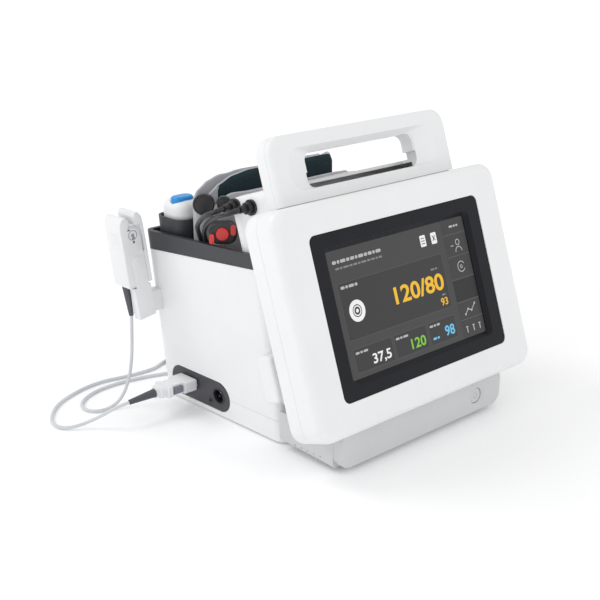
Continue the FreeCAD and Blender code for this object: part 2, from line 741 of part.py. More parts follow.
def build_body_shell():
    body = new_body("body_shell")
    low, high = size("tray_high") + size("seam"), size("high_z") + 4
    housing_loft(body, fixed(0), low, high)
    pocket(body, above_line(body, size("band_front_z"), size("band_back_z"), size("high_z") + 20), fixed(260), True)
    housing_loft(body, size("wall"), low - 0.01, high, "SubtractiveLoft")
    for x, y in SIDE_LUGS:
        middle = fixed(math.copysign(83.75, x))
        pad(body, rounded(body, fixed(18.5), fixed(10), fixed(4.9), (middle, y), low), fixed(14))
    for x, y in REAR_LUGS:
        pad(body, rounded(body, fixed(10), fixed(19), fixed(4.9), (x, 99.3), low), fixed(14))
    for x, y in SIDE_LUGS + REAR_LUGS:
        pocket(body, disc(body, fixed(1.55), (x, y), low - 1), fixed(10))
    pocket(body, panel_hole(body), fixed(30))
    keep(body, "body_shell")


def build_basket():
    """The dark liner: a rim flush with the housing and a bucket inside it."""
    body = new_body("liner_form")
    top = size("high_z") + 4
    housing_loft(body, fixed(0), size("band_back_z") - 4, top)
    front, back = size("high_front") - 25, size("high_back") + 10
    fall = (size("band_front_z") - size("band_back_z")) / (size("high_back") - size("high_front"))
    lower_edge = [(back, size("band_back_z") - fall * 10 + 0.25), (front, size("band_front_z") + fall * 25 + 0.25)]
    pocket(body, outline(body, [(front, fixed(100)), (back, fixed(100))] + lower_edge), fixed(260), True)
    housing_loft(body, fixed(2.8), size("bucket_floor"), size("band_front_z") + 2)
    pocket(body, above_line(body, size("rim_front_z"), size("rim_back_z"), size("high_z") + 30), fixed(260), True)
    housing_loft(body, fixed(4.2), size("bucket_floor") + 1.6, top + 6, "SubtractiveLoft")
    room = box_solid("hump_room", (0, 0, 0), (size("hump_wide") + 0.4, fixed(70), fixed(60)))
    in_head_at(room, (-size("hump_wide") / 2 - 0.2, size("hump_low") - 0.5, -size("hump_back") - 0.5))
    keep(cut("basket_liner_cut", body, room), "basket_liner")


def build_neck():
    """The closed housing between the head's back and the rear housing's front wall, and the port cover."""
    body = new_body("neck_housing")
    low, high = fixed(36), fixed(146)
    lean = math.tan(math.radians(SIZES["lean"]))
    cosine = Size(math.cos(math.radians(SIZES["lean"])), "cos(Sizes.lean * 1 deg)")
    slope = Size(lean, "tan(Sizes.lean * 1 deg)")
    front = [size("screen_back") + size("head_deep") / cosine + 0.4 + slope * (level - size("screen_high"))
             for level in (low, high)]
    rise = size("high_z") - size("low_z")
    back = [size("low_front") + (size("high_front") - size("low_front")) * ((level - size("low_z")) / rise) - 0.3
            for level in (low, high)]
    pad(body, outline(body, [(front[0], low), (back[0], low), (back[1], high), (front[1], high)], fixed(-93)),
        fixed(186))
    soften(body, fixed(2.5), lambda box, edge: box.XLength < 0.01)
    room = [(front[0] - 2, low + 2.5), (back[0] - 2.5, low + 2.5), (back[1] - 2.5, high - 2.5), (front[1] - 2, high - 2.5)]
    pocket(body, outline(body, room, fixed(-90.5)), fixed(181))
    keep(body, "neck_housing")

    cover = head_body("port_cover_form")
    pad(cover, rounded(cover, fixed(38), fixed(17), fixed(4), (-39, -71), fixed(-107), "YZ_Plane"), fixed(13.9))
    soften(cover, fixed(2.5), at_level(fixed(-107), "X"))
    form = new_body("housing_form")
    housing_loft(form, fixed(-0.25), size("low_z"), size("high_z"))
    keep(cut("side_port_cover_cut", cover, form), "side_port_cover")


# ---- the side panel and its sockets -----------------------------------------------------------------------
DRAFT = math.degrees(math.atan((SIZES["high_wide"] - SIZES["low_wide"]) / 2 / (SIZES["high_z"] - SIZES["low_z"])))
DRAFT_TEXT = "atan((Sizes.high_wide - Sizes.low_wide) / 2 / (Sizes.high_z - Sizes.low_z)) / 1 deg"


def on_side(name):
    """A body drawn on the drafted left wall: its X runs up the wall, its Y to the back, its Z outwards."""
    side = (size("low_wide") + (size("high_wide") - size("low_wide"))
            * ((size("panel_high") - size("low_z")) / (size("high_z") - size("low_z")))) / 2
    return new_body(name, (-side, 0, size("panel_high")), (AXIS_Y, Size(-90 - DRAFT, f"(-90 - {DRAFT_TEXT})")))


def build_side_panel():
    panel = on_side("connector_panel")
    spot = (0, size("panel_mid"))
    socket = (size("socket_high") - size("panel_high"), size("socket_mid"))
    plug = (size("plug_high") - size("panel_high"), size("plug_mid"))
    pad(panel, rounded(panel, size("panel_tall"), size("panel_long"), size("panel_tall") / 2 - 0.1, spot, fixed(-3.4)),
        fixed(3.8))
    soften(panel, fixed(0.8), at_level(fixed(0.4)))
    pocket(panel, disc(panel, fixed(7.6), socket, fixed(-4)), fixed(5))
    pocket(panel, rounded(panel, fixed(9.4), fixed(21.4), fixed(1.5), plug, fixed(-4)), fixed(5))
    pad(panel, disc(panel, fixed(2.4), (-6.9, 44.5), fixed(-1)), fixed(1.9))
    pocket(panel, disc(panel, fixed(1.2), (-6.9, 44.5), fixed(-2)), fixed(4))
    keep(panel, "connector_panel")

    shell = on_side("power_socket")
    pad(shell, disc(shell, fixed(7.4), socket, fixed(-10)), fixed(10.6))
    pocket(shell, disc(shell, fixed(5.9), socket, fixed(-7.5)), fixed(9))
    pad(shell, rounded(shell, fixed(3), fixed(2), fixed(0.4), (socket[0] + 5.4, socket[1]), fixed(-8)), fixed(7))
    keep(shell, "power_socket")

    pins = []
    for n, (up, back) in enumerate(((2.4, 0.0), (-1.6, 2.6), (-1.6, -2.6))):
        pin = on_side(f"pin_{n}")
        pad(pin, disc(pin, fixed(0.9), (socket[0] + up, socket[1] + back), fixed(-7.4)), fixed(5))
        pins.append(pin)
    keep(group("socket_pins", *pins), "socket_pins")

    jack = on_side("sensor_socket")
    pad(jack, rounded(jack, fixed(9), fixed(21), fixed(1.3), plug, fixed(-12)), fixed(12))
    pocket(jack, rounded(jack, fixed(7), fixed(19), fixed(0.8), plug, fixed(-9)), fixed(12))
    keep(jack, "sensor_socket")


# ---- what the basket holds --------------------------------------------------------------------------------
def build_cuffs():
    """The two rolled cuffs as plain closed solids; their folds and seams are a matter of looks."""
    floor = size("bucket_floor") + 2
    for name, shoulder in (("small_cuff", 16), ("large_cuff", 38)):
        left, right = size(f"{name}_left"), size(f"{name}_right")
        front, back, top = size(f"{name}_front"), size(f"{name}_back"), size(f"{name}_top")
        cuff = new_body(name)
        side = [(left, floor), (right, floor), (right, top), (left + shoulder, top),
                (left + shoulder * 0.36, top - shoulder * 0.27), (left, top - shoulder * 0.75)]
        pad(cuff, outline(cuff, side, -back, "XZ_Plane"), back - front)
        soften(cuff, fixed(5), lambda box, edge: box.YLength < 0.01)
        keep(cuff, name)

    for name, radius, spot in (("large_cuff", 8.7, (-97, 42, 183)), ("small_cuff", 5.6, (-88, 28, 185))):
        face = rod(f"{name}_disc", fixed(radius), fixed(5), spot, INTO_CORNER)
        neck = rod(f"{name}_neck", fixed(radius * 0.42), fixed(16), spot, INTO_CORNER)
        tail = cut(f"{name}_tail", neck, doc.getObject(name))
        keep(fuse(f"{name}_port_parts", face, tail), f"{name}_port")


def tube(name, points, radius, label=None):
    """A round tube along straight runs joined by tangent arcs as large as the runs allow."""
    spots = [Vector(*point) for point in points]
    edges = []
    start = spots[0]
    bends = []
    for before, corner, after in zip(spots, spots[1:], spots[2:]):
        come, go = (corner - before), (after - corner)
        turn = come.getAngle(go)
        arc = 0.45 * min(come.Length, go.Length) / math.tan(turn / 2)
        bends.append(arc)
        reach = 0.45 * min(come.Length, go.Length)
        enter = corner - come.normalize() * reach
        leave = corner + go.normalize() * reach
        inward = (go - come).normalize()
        middle = corner + inward * (arc / math.cos(turn / 2) - arc)
        edges.append(Part.LineSegment(start, enter).toShape())
        edges.append(Part.Arc(enter, middle, leave).toShape())
        start = leave
    edges.append(Part.LineSegment(start, spots[-1]).toShape())
    path = Part.Wire(edges)
    radius = number_of(radius)
    end = Part.Wire(Part.Circle(spots[0], spots[1] - spots[0], radius).toShape())
    solid = path.makePipeShell([end], True, False)
    expected = math.pi * radius ** 2 * path.Length
    print(f"{name}: length {path.Length:.0f}, radii " + " ".join(f"{bend:.0f}" for bend in bends)
          + f", volume {solid.Volume / expected:.3f} of section x length")
    thing = doc.addObject("Part::Feature", name)
    thing.Shape = solid
    return keep(thing, label or name)


REAR_HOSE = [(-111.6, 0, 190.0), (-120, 1, 188.5), (-120.5, 12, 184), (-113, 28, 175), (-104.5, 42, 166),
             (-97, 47, 155), (-94.5, 45.5, 143), (-91.5, 36, 135), (-87, 25, 129), (-83, 17, 119)]
FRONT_HOSE = [(-111.6, -18.5, 192.6), (-120.5, -17.5, 191), (-122, -6, 187), (-115.5, 10, 180), (-107.5, 27, 171),
              (-100.5, 38.5, 161), (-96.5, 39, 150.5), (-92, 29, 146.5), (-87, 15, 145), (-81.5, 4, 138),
              (-78, -1, 127)]


def build_hoses():
    tube("rear_hose", REAR_HOSE, size("hose_radius"))
    tube("front_hose", FRONT_HOSE, size("hose_radius"))

    turn = (AXIS_Z, fixed(-45))
    spot = (-91, 25.5, 162.5)
    shell = doc.addObject("PartDesign::Body", "coupling_shell")
    place(shell, spot, turn)
    pad(shell, rounded(shell, fixed(22), fixed(17), fixed(7), (0, 0), fixed(-6), "XZ_Plane"), fixed(11))
    soften(shell, fixed(2), at_level(fixed(-5), "Y"))
    pocket(shell, disc(shell, fixed(5.6), (0, 0), fixed(1), "XZ_Plane"), fixed(5))
    keep(shell, "cuff_coupling")

    button = doc.addObject("PartDesign::Body", "coupling_button_body")
    place(button, spot, turn)
    pad(button, disc(button, fixed(5.3), (0, 0), fixed(2.2), "XZ_Plane"), fixed(4.6))
    soften(button, fixed(0.8), at_level(fixed(-6.8), "Y"))
    keep(button, "coupling_button")

    caps = []
    for name, side, up in (("left", -8.6, -3.6), ("right", 8.6, 3.6)):
        cap = doc.addObject("PartDesign::Body", f"{name}_cap")
        place(cap, spot, turn)
        pad(cap, rounded(cap, fixed(4), fixed(8), fixed(1.5), (side, up), fixed(5.2), "XZ_Plane"), fixed(2.4))
        caps.append(cap)
    keep(group("coupling_caps", *caps), "coupling_caps")


def build_thermometer():
    """An ear thermometer that stands in a deep dark cradle in the basket's rear left corner."""
    foot, mid, axis = (-75, 88.7), (-79.8, 88.7), (-80.5, 88.7)
    cradle = new_body("thermometer_cradle")
    floor, top = size("bucket_floor") + 1.7, fixed(164)
    loft(cradle, "AdditiveLoft", rounded(cradle, fixed(29), fixed(33), fixed(8), foot, floor),
         rounded(cradle, fixed(39), fixed(36), fixed(11), mid, top))
    loft(cradle, "SubtractiveLoft", rounded(cradle, fixed(25), fixed(29), fixed(6), foot, floor + 2),
         rounded(cradle, fixed(35), fixed(32), fixed(9), mid, top + 0.01))
    keep(cradle, "thermometer_cradle")

    body = new_body("thermometer_shell")
    narrow = rounded(body, fixed(20), fixed(20), fixed(8), (-76, 88.7), floor + 2.1)
    broad = rounded(body, fixed(31), fixed(29), fixed(10), axis, fixed(166))
    loft(body, "AdditiveLoft", narrow, broad)
    pad(body, rounded(body, fixed(31), fixed(29), fixed(10), axis, fixed(165.9)), fixed(12.1))
    soften(body, fixed(7), at_level(fixed(178)))
    key = (-84, 86.5)
    pocket(body, rounded(body, fixed(20.6), fixed(13.6), fixed(6.5), key, fixed(174.6)), fixed(8))
    keep(body, "thermometer_body")
    button = new_body("thermometer_key")
    pad(button, rounded(button, fixed(20), fixed(13), fixed(6.2), key, fixed(176)), fixed(5))
    soften(button, fixed(2.2), at_level(fixed(181)))
    keep(button, "thermometer_button")


# ---- the finger sensor ------------------------------------------------------------------------------------
def clip_body(name):
    """A body in the sensor's frame: X across the jaws, Y along the hinge, Z towards the levers."""
    return new_body(name, (size("clip_x"), size("clip_y"), size("clip_z")), (AXIS_Y, -size("clip_lean")))


def clip_profile(points):
    return [(fixed(x), size("jaw_low") if z == "low" else fixed(z)) for x, z in points]


def build_clip():
    """Two jaws on a pin: the outer one's cheeks close the middle, and a spring coil sits between them."""
    half = size("clip_half")
    cheek, gap = fixed(2.2), fixed(0.3)

    outer = clip_body("clip_outer_jaw")
    pad(outer, outline(outer, clip_profile([(-12.4, "low"), (-7.1, "low"), (-7.1, -12), (-6, -8), (-5, 8), (-1.4, 12),
                                            (-2.2, 16.5), (-4.6, 19), (-8.2, 18.6), (-10.8, 15), (-11.6, 8),
                                            (-11.6, -12)]), -half, "XZ_Plane"), half * 2)
    soften(outer, fixed(1.3), lambda box, edge: box.YLength > 10 and box.ZMin > 12.5)
    for level in (-half, half - cheek):
        pad(outer, outline(outer, clip_profile([(-7.5, -14), (6.6, -12.5), (7.4, -4), (6.6, 4), (3, 8), (-2, 9),
                                                (-7.5, 9)]), level, "XZ_Plane"), cheek)
    pocket(outer, disc(outer, size("pin_radius"), (0, 0), -half - 1, "XZ_Plane"), half * 2 + 2)
    keep(outer, "clip_outer_jaw")

    inner = clip_body("clip_inner_jaw")
    core = half - cheek - gap
    pad(inner, outline(inner, clip_profile([(7.5, "low"), (10.8, "low"), (11.3, -13), (11.4, 9), (8.8, 9), (8.8, -13),
                                            (7.5, -14.5)]), -half, "XZ_Plane"), half * 2)
    pad(inner, outline(inner, clip_profile([(7.6, -14.5), (11.2, -14.5), (11.3, 10), (3, 10), (2, 9), (-2.6, 3.4),
                                            (-2.6, -3.4)]), -core, "XZ_Plane"), core * 2)
    pad(inner, outline(inner, clip_profile([(3.6, 10), (11.4, 8.9), (11, 15.5), (8.4, 20), (5, 20.2), (3.2, 17)]),
                       -half, "XZ_Plane"), half * 2)
    pocket(inner, disc(inner, size("pin_radius") + 0.05, (0, 0), -half - 1, "XZ_Plane"), half * 2 + 2)
    pocket(inner, disc(inner, fixed(3.9), (0, 0), fixed(-4), "XZ_Plane"), fixed(8))
    keep(inner, "clip_inner_jaw")

    pin = clip_body("clip_pin")
    pad(pin, disc(pin, size("pin_radius"), (0, 0), -half, "XZ_Plane"), half * 2)
    keep(pin, "clip_pin")

    coil = wire_coil("clip_spring", 2.6, 0.35, 1.2, 6)
    place(coil, (size("clip_x"), size("clip_y") - 3, size("clip_z")), INTO_BACK)
    keep(coil, "clip_spring")

    for name, near, far in (("outer", -7.05, -6.0), ("inner", 6.3, 7.45)):
        finger_pad = clip_body(f"{name}_finger_pad")
        corners = [(near, -40), (far, -40), (far, -15), (near, -15)]
        pad(finger_pad, outline(finger_pad, corners, fixed(-8), "XZ_Plane"), fixed(16))
        keep(finger_pad, f"{name}_finger_pad")

    post = clip_body("holder_post")
    pad(post, outline(post, [(-5.6, -44), (6, -44), (6, -19), (3, -16), (-3, -16), (-5.6, -19)], fixed(-9), "XZ_Plane"),
        fixed(20.5))
    pad(post, outline(post, [(-8.4, -72), (8.2, -72), (8.2, -43.6), (-8.4, -43.6)], fixed(3.9), "XZ_Plane"),
        fixed(7.6))
    pad(post, outline(post, [(-3.2, -72), (8.2, -72), (8.2, -43.6), (-3.2, -43.6)], fixed(-9), "XZ_Plane"), fixed(13))
    form = new_body("holder_seat_form")
    housing_loft(form, fixed(-0.05), size("low_z"), size("high_z"))
    arm = box_solid("holder_arm", (-114, 98.5, 82), (fixed(18), fixed(10), fixed(18)))
    keep(fuse("clip_holder_parts", post, cut("holder_arm_cut", arm, form)), "clip_holder")


# ---- the sensor's lead ------------------------------------------------------------------------------------
# Each route is a list of corners set by hand; the coil between them lies close behind the housing.
SENSOR_LEAD = [(-124.75, 109, 79.4), (-125.3, 109, 58), (-127.3, 108.6, 38), (-132, 108, 20), (-141, 108, 6.5),
               (-153, 108.6, 1.6), (-165.5, 113, 1.5), (-168.5, 124, 1.5), (-163.5, 135, 1.5), (-152, 144, 1.5),
               (-134, 150.5, 1.5), (-112, 150.5, 1.5), (-91, 147, 1.5), (-72, 141, 1.5), (-56, 134.5, 1.5),
               (-38, 134.5, 1.5)]
PLUG_LEAD = [(-38, 165.5, 1.5), (-51, 165.5, 1.5), (-68, 156.5, 1.5), (-86, 157, 1.5), (-103.6, 159.5, 1.5),
             (-120, 164, 1.5), (-141, 162.5, 1.5), (-160, 156.5, 1.5), (-179, 147.6, 1.5), (-194, 133, 1.5),
             (-203, 119, 1.5), (-204.5, 104.5, 1.6), (-196, 96.5, 2.4), (-185, 91, 5.5), (-177, 82.5, 11.5),
             (-169, 73.5, 19.4), (-157.8, 71, 21.1)]
COIL_MIDDLE = (-38, 150)
COIL_RADIUS = 15.5


def build_lead():
    x, y = COIL_MIDDLE
    relief = taper("sensor_relief", fixed(3.3), fixed(2.0), fixed(27.5), (-129.05, 109, 107.0), (AXIS_Y, fixed(180) - size("clip_lean")))
    keep(relief, "sensor_strain_relief")
    tube("sensor_lead", SENSOR_LEAD, size("cord_radius"))
    ring = cut("lead_coil_ring", rod("lead_coil_out", fixed(COIL_RADIUS + 3), fixed(8.4), (x, y, 0.05)),
               rod("lead_coil_in", fixed(COIL_RADIUS - 3), fixed(9), (x, y, 0)))
    keep(ring, "sensor_lead_coil")
    tube("plug_lead", PLUG_LEAD, size("cord_radius"))

    shell = new_body("plug_shell", (0, size("plug_mid"), size("plug_high")), OUT_LEFT)
    tall, wide = size("plug_tall"), size("plug_wide")
    root = fixed(95.6)
    pad(shell, rounded(shell, tall - 3.6, wide - 4.4, fixed(0.8), (0, 0), root - 6), fixed(6.1))
    pad(shell, rounded(shell, tall, wide, fixed(1.6), (0, 0), root), fixed(12))
    pad(shell, rounded(shell, tall, wide - 7, fixed(1.2), (0, 0), root + 11.9), fixed(12.2))
    pad(shell, rounded(shell, tall, wide - 2, fixed(1.6), (0, 0), root + 24), fixed(4))
    pad(shell, rounded(shell, tall - 0.6, wide - 8, fixed(3), (0, 0), root + 27.9), fixed(5.1))
    pad(shell, disc(shell, fixed(4.6), (0, 0), root + 32.9), fixed(3.5))
    for side in (-1, 1):
        pocket(shell, rounded(shell, fixed(6.4), fixed(3.4), fixed(0.6), (0, side * 7.4), root + 13.2), fixed(9.6))
    keep(shell, "sensor_plug")
    for name, side in (("front", -1), ("rear", 1)):
        latch = new_body(f"{name}_latch_body", (0, size("plug_mid"), size("plug_high")), OUT_LEFT)
        pad(latch, rounded(latch, fixed(6), fixed(2.7), fixed(0.5), (0, side * 8.3), root + 13.5), fixed(9))
        keep(latch, f"{name}_plug_latch")
    boot = taper("plug_relief", fixed(3.7), fixed(2.1), fixed(25.4), (-132.1, size("plug_mid"), size("plug_high")),
                 (AXIS_Y, fixed(-92)))
    keep(boot, "plug_strain_relief")


# ---- build, check and write -------------------------------------------------------------------------------
def build_all():
    build_front_cover()
    build_display()
    build_head_rear()
    build_handle_trim()
    build_hose_ports()
    build_foot()
    build_power_button()
    build_body_shell()
    build_base_tray()
    build_inside()
    build_basket()
    build_neck()
    build_side_panel()
    build_cuffs()
    build_hoses()
    build_thermometer()
    build_clip()
    build_lead()
    doc.recompute()


def check_and_write():
    for thing in doc.Objects:
        if {"Invalid", "Error"} & set(thing.State):
            raise RuntimeError(f"{thing.Name} ({thing.Label}): {thing.State}")
    os.makedirs("parts", exist_ok=True)
    for node in nodes:
        shape = node.Shape
        if shape.isNull() or not shape.isValid() or shape.Volume <= 0:
            raise RuntimeError(f"{node.Label}: bad shape")
        shape.exportStep(f"parts/{node.Label}.step")
    print(f"{len(nodes)} sub-parts written")


build_all()
check_and_write()
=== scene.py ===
import json
import math

import bmesh
import bpy
from mathutils import Matrix, Vector, noise


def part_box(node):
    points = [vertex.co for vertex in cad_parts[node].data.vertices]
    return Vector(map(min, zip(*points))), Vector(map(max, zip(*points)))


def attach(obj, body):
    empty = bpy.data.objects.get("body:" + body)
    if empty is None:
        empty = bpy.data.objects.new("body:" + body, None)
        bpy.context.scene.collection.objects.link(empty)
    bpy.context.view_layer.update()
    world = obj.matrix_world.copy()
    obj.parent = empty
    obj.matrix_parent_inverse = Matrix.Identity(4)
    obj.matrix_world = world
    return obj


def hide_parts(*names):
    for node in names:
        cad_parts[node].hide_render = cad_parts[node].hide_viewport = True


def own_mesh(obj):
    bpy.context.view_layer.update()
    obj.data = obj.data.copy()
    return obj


# Tabletop vital-signs monitor, in the row's frame: +X to the right of someone facing the screen, +Y to the
# back, +Z up, the origin under the housing in the plane of the feet. Sizes and places below are in mm and
# are turned into metres where they meet Blender; the camera, the lights and the floor are in metres.
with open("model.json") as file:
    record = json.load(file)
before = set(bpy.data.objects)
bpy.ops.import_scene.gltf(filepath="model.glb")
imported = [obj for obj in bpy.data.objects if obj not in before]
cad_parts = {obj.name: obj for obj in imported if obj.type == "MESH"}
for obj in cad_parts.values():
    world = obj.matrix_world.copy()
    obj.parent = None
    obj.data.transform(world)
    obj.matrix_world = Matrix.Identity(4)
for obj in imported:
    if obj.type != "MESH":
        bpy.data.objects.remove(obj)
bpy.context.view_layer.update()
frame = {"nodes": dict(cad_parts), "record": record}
scene = bpy.context.scene
MM = 0.001

# ---- the head's own frame: u to the right, v up the screen, w out of it -------------------------
LEAN = math.radians(18.65)
SCREEN_Y, SCREEN_Z = -98, 120     # the middle of the screen's face
GLASS_W = -4.66                   # just in front of the touch glass
HEAD = Matrix(((1, 0, 0, 0),
               (0, math.sin(LEAN), -math.cos(LEAN), SCREEN_Y * MM),
               (0, math.cos(LEAN), math.sin(LEAN), SCREEN_Z * MM),
               (0, 0, 0, 1)))


def head(u, v, w):
    return HEAD @ Vector((u * MM, v * MM, w * MM))


# ---- materials ----------------------------------------------------------------------------------
NOISE_LOW, NOISE_HIGH = 0.3, 0.7      # most of a noise texture's output lies between these


def new_material(name):
    mat = bpy.data.materials.new(name)
    mat.use_nodes = True
    nodes = mat.node_tree.nodes
    return mat, nodes, mat.node_tree.links, nodes["Principled BSDF"]


def noise_fac(nodes, links, coords, scale, detail=3.0):
    """The output of a noise texture in the object's own coordinates."""
    node = nodes.new("ShaderNodeTexNoise")
    node.inputs["Scale"].default_value = scale
    node.inputs["Detail"].default_value = detail
    links.new(coords.outputs["Object"], node.inputs["Vector"])
    return node.outputs["Fac"]


def polish(nodes, links, bsdf, source, low, high):
    """Roughness that runs from low to high with source."""
    node = nodes.new("ShaderNodeMapRange")
    node.inputs["From Min"].default_value = NOISE_LOW
    node.inputs["From Max"].default_value = NOISE_HIGH
    node.inputs["To Min"].default_value = low
    node.inputs["To Max"].default_value = high
    links.new(source, node.inputs["Value"])
    links.new(node.outputs["Result"], bsdf.inputs["Roughness"])


def tone(nodes, links, source, colour, down, up, start=NOISE_LOW, end=NOISE_HIGH):
    """The colour, darker by down where source is low and lighter by up where it is high."""
    ramp = nodes.new("ShaderNodeValToRGB")
    dark, light = ramp.color_ramp.elements
    dark.position = start
    light.position = end
    dark.color = (*(c * (1 - down) for c in colour), 1)
    light.color = (*(min(1, c * (1 + up)) for c in colour), 1)
    links.new(source, ramp.inputs["Fac"])
    return ramp.outputs["Color"]


def relief(nodes, links, bsdf, source, strength, distance):
    """Fine bumps where source is high, distance in metres."""
    bump = nodes.new("ShaderNodeBump")
    bump.inputs["Strength"].default_value = strength
    bump.inputs["Distance"].default_value = distance
    links.new(source, bump.inputs["Height"])
    links.new(bump.outputs["Normal"], bsdf.inputs["Normal"])


def moulded(name, colour, rough=0.42, grain=1500, depth=0.06, vary=0.03, metallic=0.0, coat=0.0,
            shine=0.5):
    """Moulded plastic, rubber or metal: a fine grain, slow changes of tone and of polish."""
    mat, nodes, links, bsdf = new_material(name)
    coords = nodes.new("ShaderNodeTexCoord")
    relief(nodes, links, bsdf, noise_fac(nodes, links, coords, grain), depth, 0.0002)
    slow = noise_fac(nodes, links, coords, 25, 4)
    links.new(tone(nodes, links, slow, colour, vary, vary), bsdf.inputs["Base Color"])
    polish(nodes, links, bsdf, slow, rough - 0.04, rough + 0.05)
    bsdf.inputs["Metallic"].default_value = metallic
    bsdf.inputs["Coat Weight"].default_value = coat
    bsdf.inputs["Coat Roughness"].default_value = 0.12
    bsdf.inputs["Specular IOR Level"].default_value = shine
    return mat


def thread_waves(nodes, links, coords, way, thread):
    """Parallel threads, thread being their spacing in metres."""
    wave = nodes.new("ShaderNodeTexWave")
    wave.bands_direction = way
    wave.inputs["Scale"].default_value = math.pi / (10 * thread)
    wave.inputs["Distortion"].default_value = 0.6
    wave.inputs["Detail"].default_value = 1.0
    links.new(coords.outputs["Object"], wave.inputs["Vector"])
    return wave.outputs["Fac"]


def woven(name, colour, thread=0.0009, depth=0.5, sheen=0.35):
    """Woven nylon: two crossed sets of threads, with the tone a little uneven."""
    mat, nodes, links, bsdf = new_material(name)
    coords = nodes.new("ShaderNodeTexCoord")
    weave = nodes.new("ShaderNodeMath")
    weave.operation = "MAXIMUM"
    for way, socket in zip(("X", "Z"), weave.inputs):
        links.new(thread_waves(nodes, links, coords, way, thread), socket)
    relief(nodes, links, bsdf, weave.outputs[0], depth, 0.0003)
    slow = noise_fac(nodes, links, coords, 45, 5)
    mix = nodes.new("ShaderNodeMix")
    mix.data_type = "RGBA"
    mix.blend_type = "MULTIPLY"
    mix.inputs["Factor"].default_value = 0.35
    links.new(tone(nodes, links, slow, colour, 0.14, 0.14, 0.25, 0.75), mix.inputs["A"])
    links.new(weave.outputs[0], mix.inputs["B"])
    links.new(mix.outputs["Result"], bsdf.inputs["Base Color"])
    polish(nodes, links, bsdf, slow, 0.72, 0.86)
    bsdf.inputs["Sheen Weight"].default_value = sheen
    bsdf.inputs["Sheen Roughness"].default_value = 0.5
    bsdf.inputs["Specular IOR Level"].default_value = 0.25
    return mat


def lit(name, colour):
    """A lit part of the display, with a faint unevenness of the backlight."""
    mat, nodes, links, bsdf = new_material(name)
    coords = nodes.new("ShaderNodeTexCoord")
    slow = noise_fac(nodes, links, coords, 30, 2)
    links.new(tone(nodes, links, slow, colour, 0.07, 0.0, 0.0, 1.0), bsdf.inputs["Emission Color"])
    bsdf.inputs["Emission Strength"].default_value = 1.0
    bsdf.inputs["Base Color"].default_value = (*(c * 0.1 for c in colour), 1)
    bsdf.inputs["Roughness"].default_value = 0.3
    return mat


WHITE = moulded("white_casing", (0.82, 0.825, 0.83), 0.38, vary=0.012)
WHITE_SOFT = moulded("white_handle", (0.80, 0.805, 0.81), 0.45, depth=0.09, vary=0.012)
# The foot, the fascia, the neck and the power button are white like the casing; this darker grey is painted
# shade for their place under the front cover's overhang.
SHADED_WHITE = moulded("white_painted_shade", (0.58, 0.585, 0.59), 0.42, vary=0.015)
CHARCOAL = moulded("charcoal_liner", (0.035, 0.036, 0.042), 0.45, grain=1100, depth=0.14, vary=0.12)
BEZEL = moulded("bezel_black", (0.009, 0.0095, 0.013), 0.38, depth=0.05, vary=0.1, shine=0.2)
PANEL = moulded("panel_charcoal", (0.045, 0.045, 0.053), 0.45, grain=1100, depth=0.12, vary=0.1)
BLACK = moulded("socket_black", (0.012, 0.012, 0.014), 0.4, vary=0.15)
RUBBER = moulded("rubber_black", (0.016, 0.016, 0.018), 0.6, grain=900, depth=0.2, vary=0.15)
HOSE = moulded("hose_black", (0.018, 0.018, 0.021), 0.36, grain=700, depth=0.08, vary=0.15)
CLIP = moulded("clip_white", (0.80, 0.81, 0.82), 0.36, vary=0.015)
LATCH = moulded("latch_grey", (0.20, 0.20, 0.24), 0.45, vary=0.06)
BOOT = moulded("boot_grey", (0.075, 0.078, 0.09), 0.5, grain=900, depth=0.12, vary=0.08)
CORD = moulded("cord_pale", (0.62, 0.64, 0.66), 0.42, grain=1000, depth=0.08, vary=0.04)
RED = moulded("button_red", (0.72, 0.028, 0.022), 0.34, vary=0.06, coat=0.2)
BLUE = moulded("button_blue", (0.0, 0.25, 0.66), 0.34, vary=0.06, coat=0.15)
STEEL = moulded("steel", (0.62, 0.62, 0.64), 0.26, grain=600, depth=0.05, vary=0.05, metallic=1.0)
BRASS = moulded("brass", (0.72, 0.55, 0.24), 0.3, grain=600, depth=0.08, vary=0.06, metallic=1.0)
BOARD = moulded("board_green", (0.01, 0.12, 0.05), 0.4, grain=500, vary=0.1)
GLASS = moulded("touch_glass", (0.012, 0.013, 0.015), 0.16, grain=200, depth=0.0, vary=0.1, coat=0.3)
MARK = moulded("print_grey", (0.30, 0.31, 0.33), 0.5, vary=0.05)
CUFF_TEAL = woven("cuff_teal", (0.011, 0.030, 0.038), sheen=0.03)
CUFF_EDGE = woven("cuff_edge", (0.46, 0.47, 0.49), thread=0.0006, depth=0.35)
CUFF_GREY = woven("cuff_grey", (0.60, 0.60, 0.63))
THREAD = moulded("thread", (0.022, 0.045, 0.052), 0.7, grain=2500, depth=0.3, vary=0.1)
THREAD_GREY = moulded("thread_grey", (0.42, 0.425, 0.45), 0.7, grain=2500, depth=0.3, vary=0.05)
SHOW_BACK = lit("display_back", (0.040, 0.040, 0.041))
SHOW_TILE = lit("display_tile", (0.025, 0.025, 0.026))
SHOW_EDGE = lit("display_edge", (0.075, 0.075, 0.077))
SHOW_SIDE = lit("display_side", (0.030, 0.030, 0.031))
SHOW_DARK = lit("display_dark", (0.010, 0.010, 0.011))
SHOW_TEXT = lit("display_text", (0.42, 0.42, 0.43))
SHOW_DIM = lit("display_dim", (0.20, 0.20, 0.21))
SHOW_WHITE = lit("display_white", (0.80, 0.80, 0.80))
SHOW_AMBER = lit("display_amber", (0.80, 0.46, 0.012))
SHOW_GREEN = lit("display_green", (0.19, 0.52, 0.04))
SHOW_BLUE = lit("display_blue", (0.13, 0.49, 0.76))

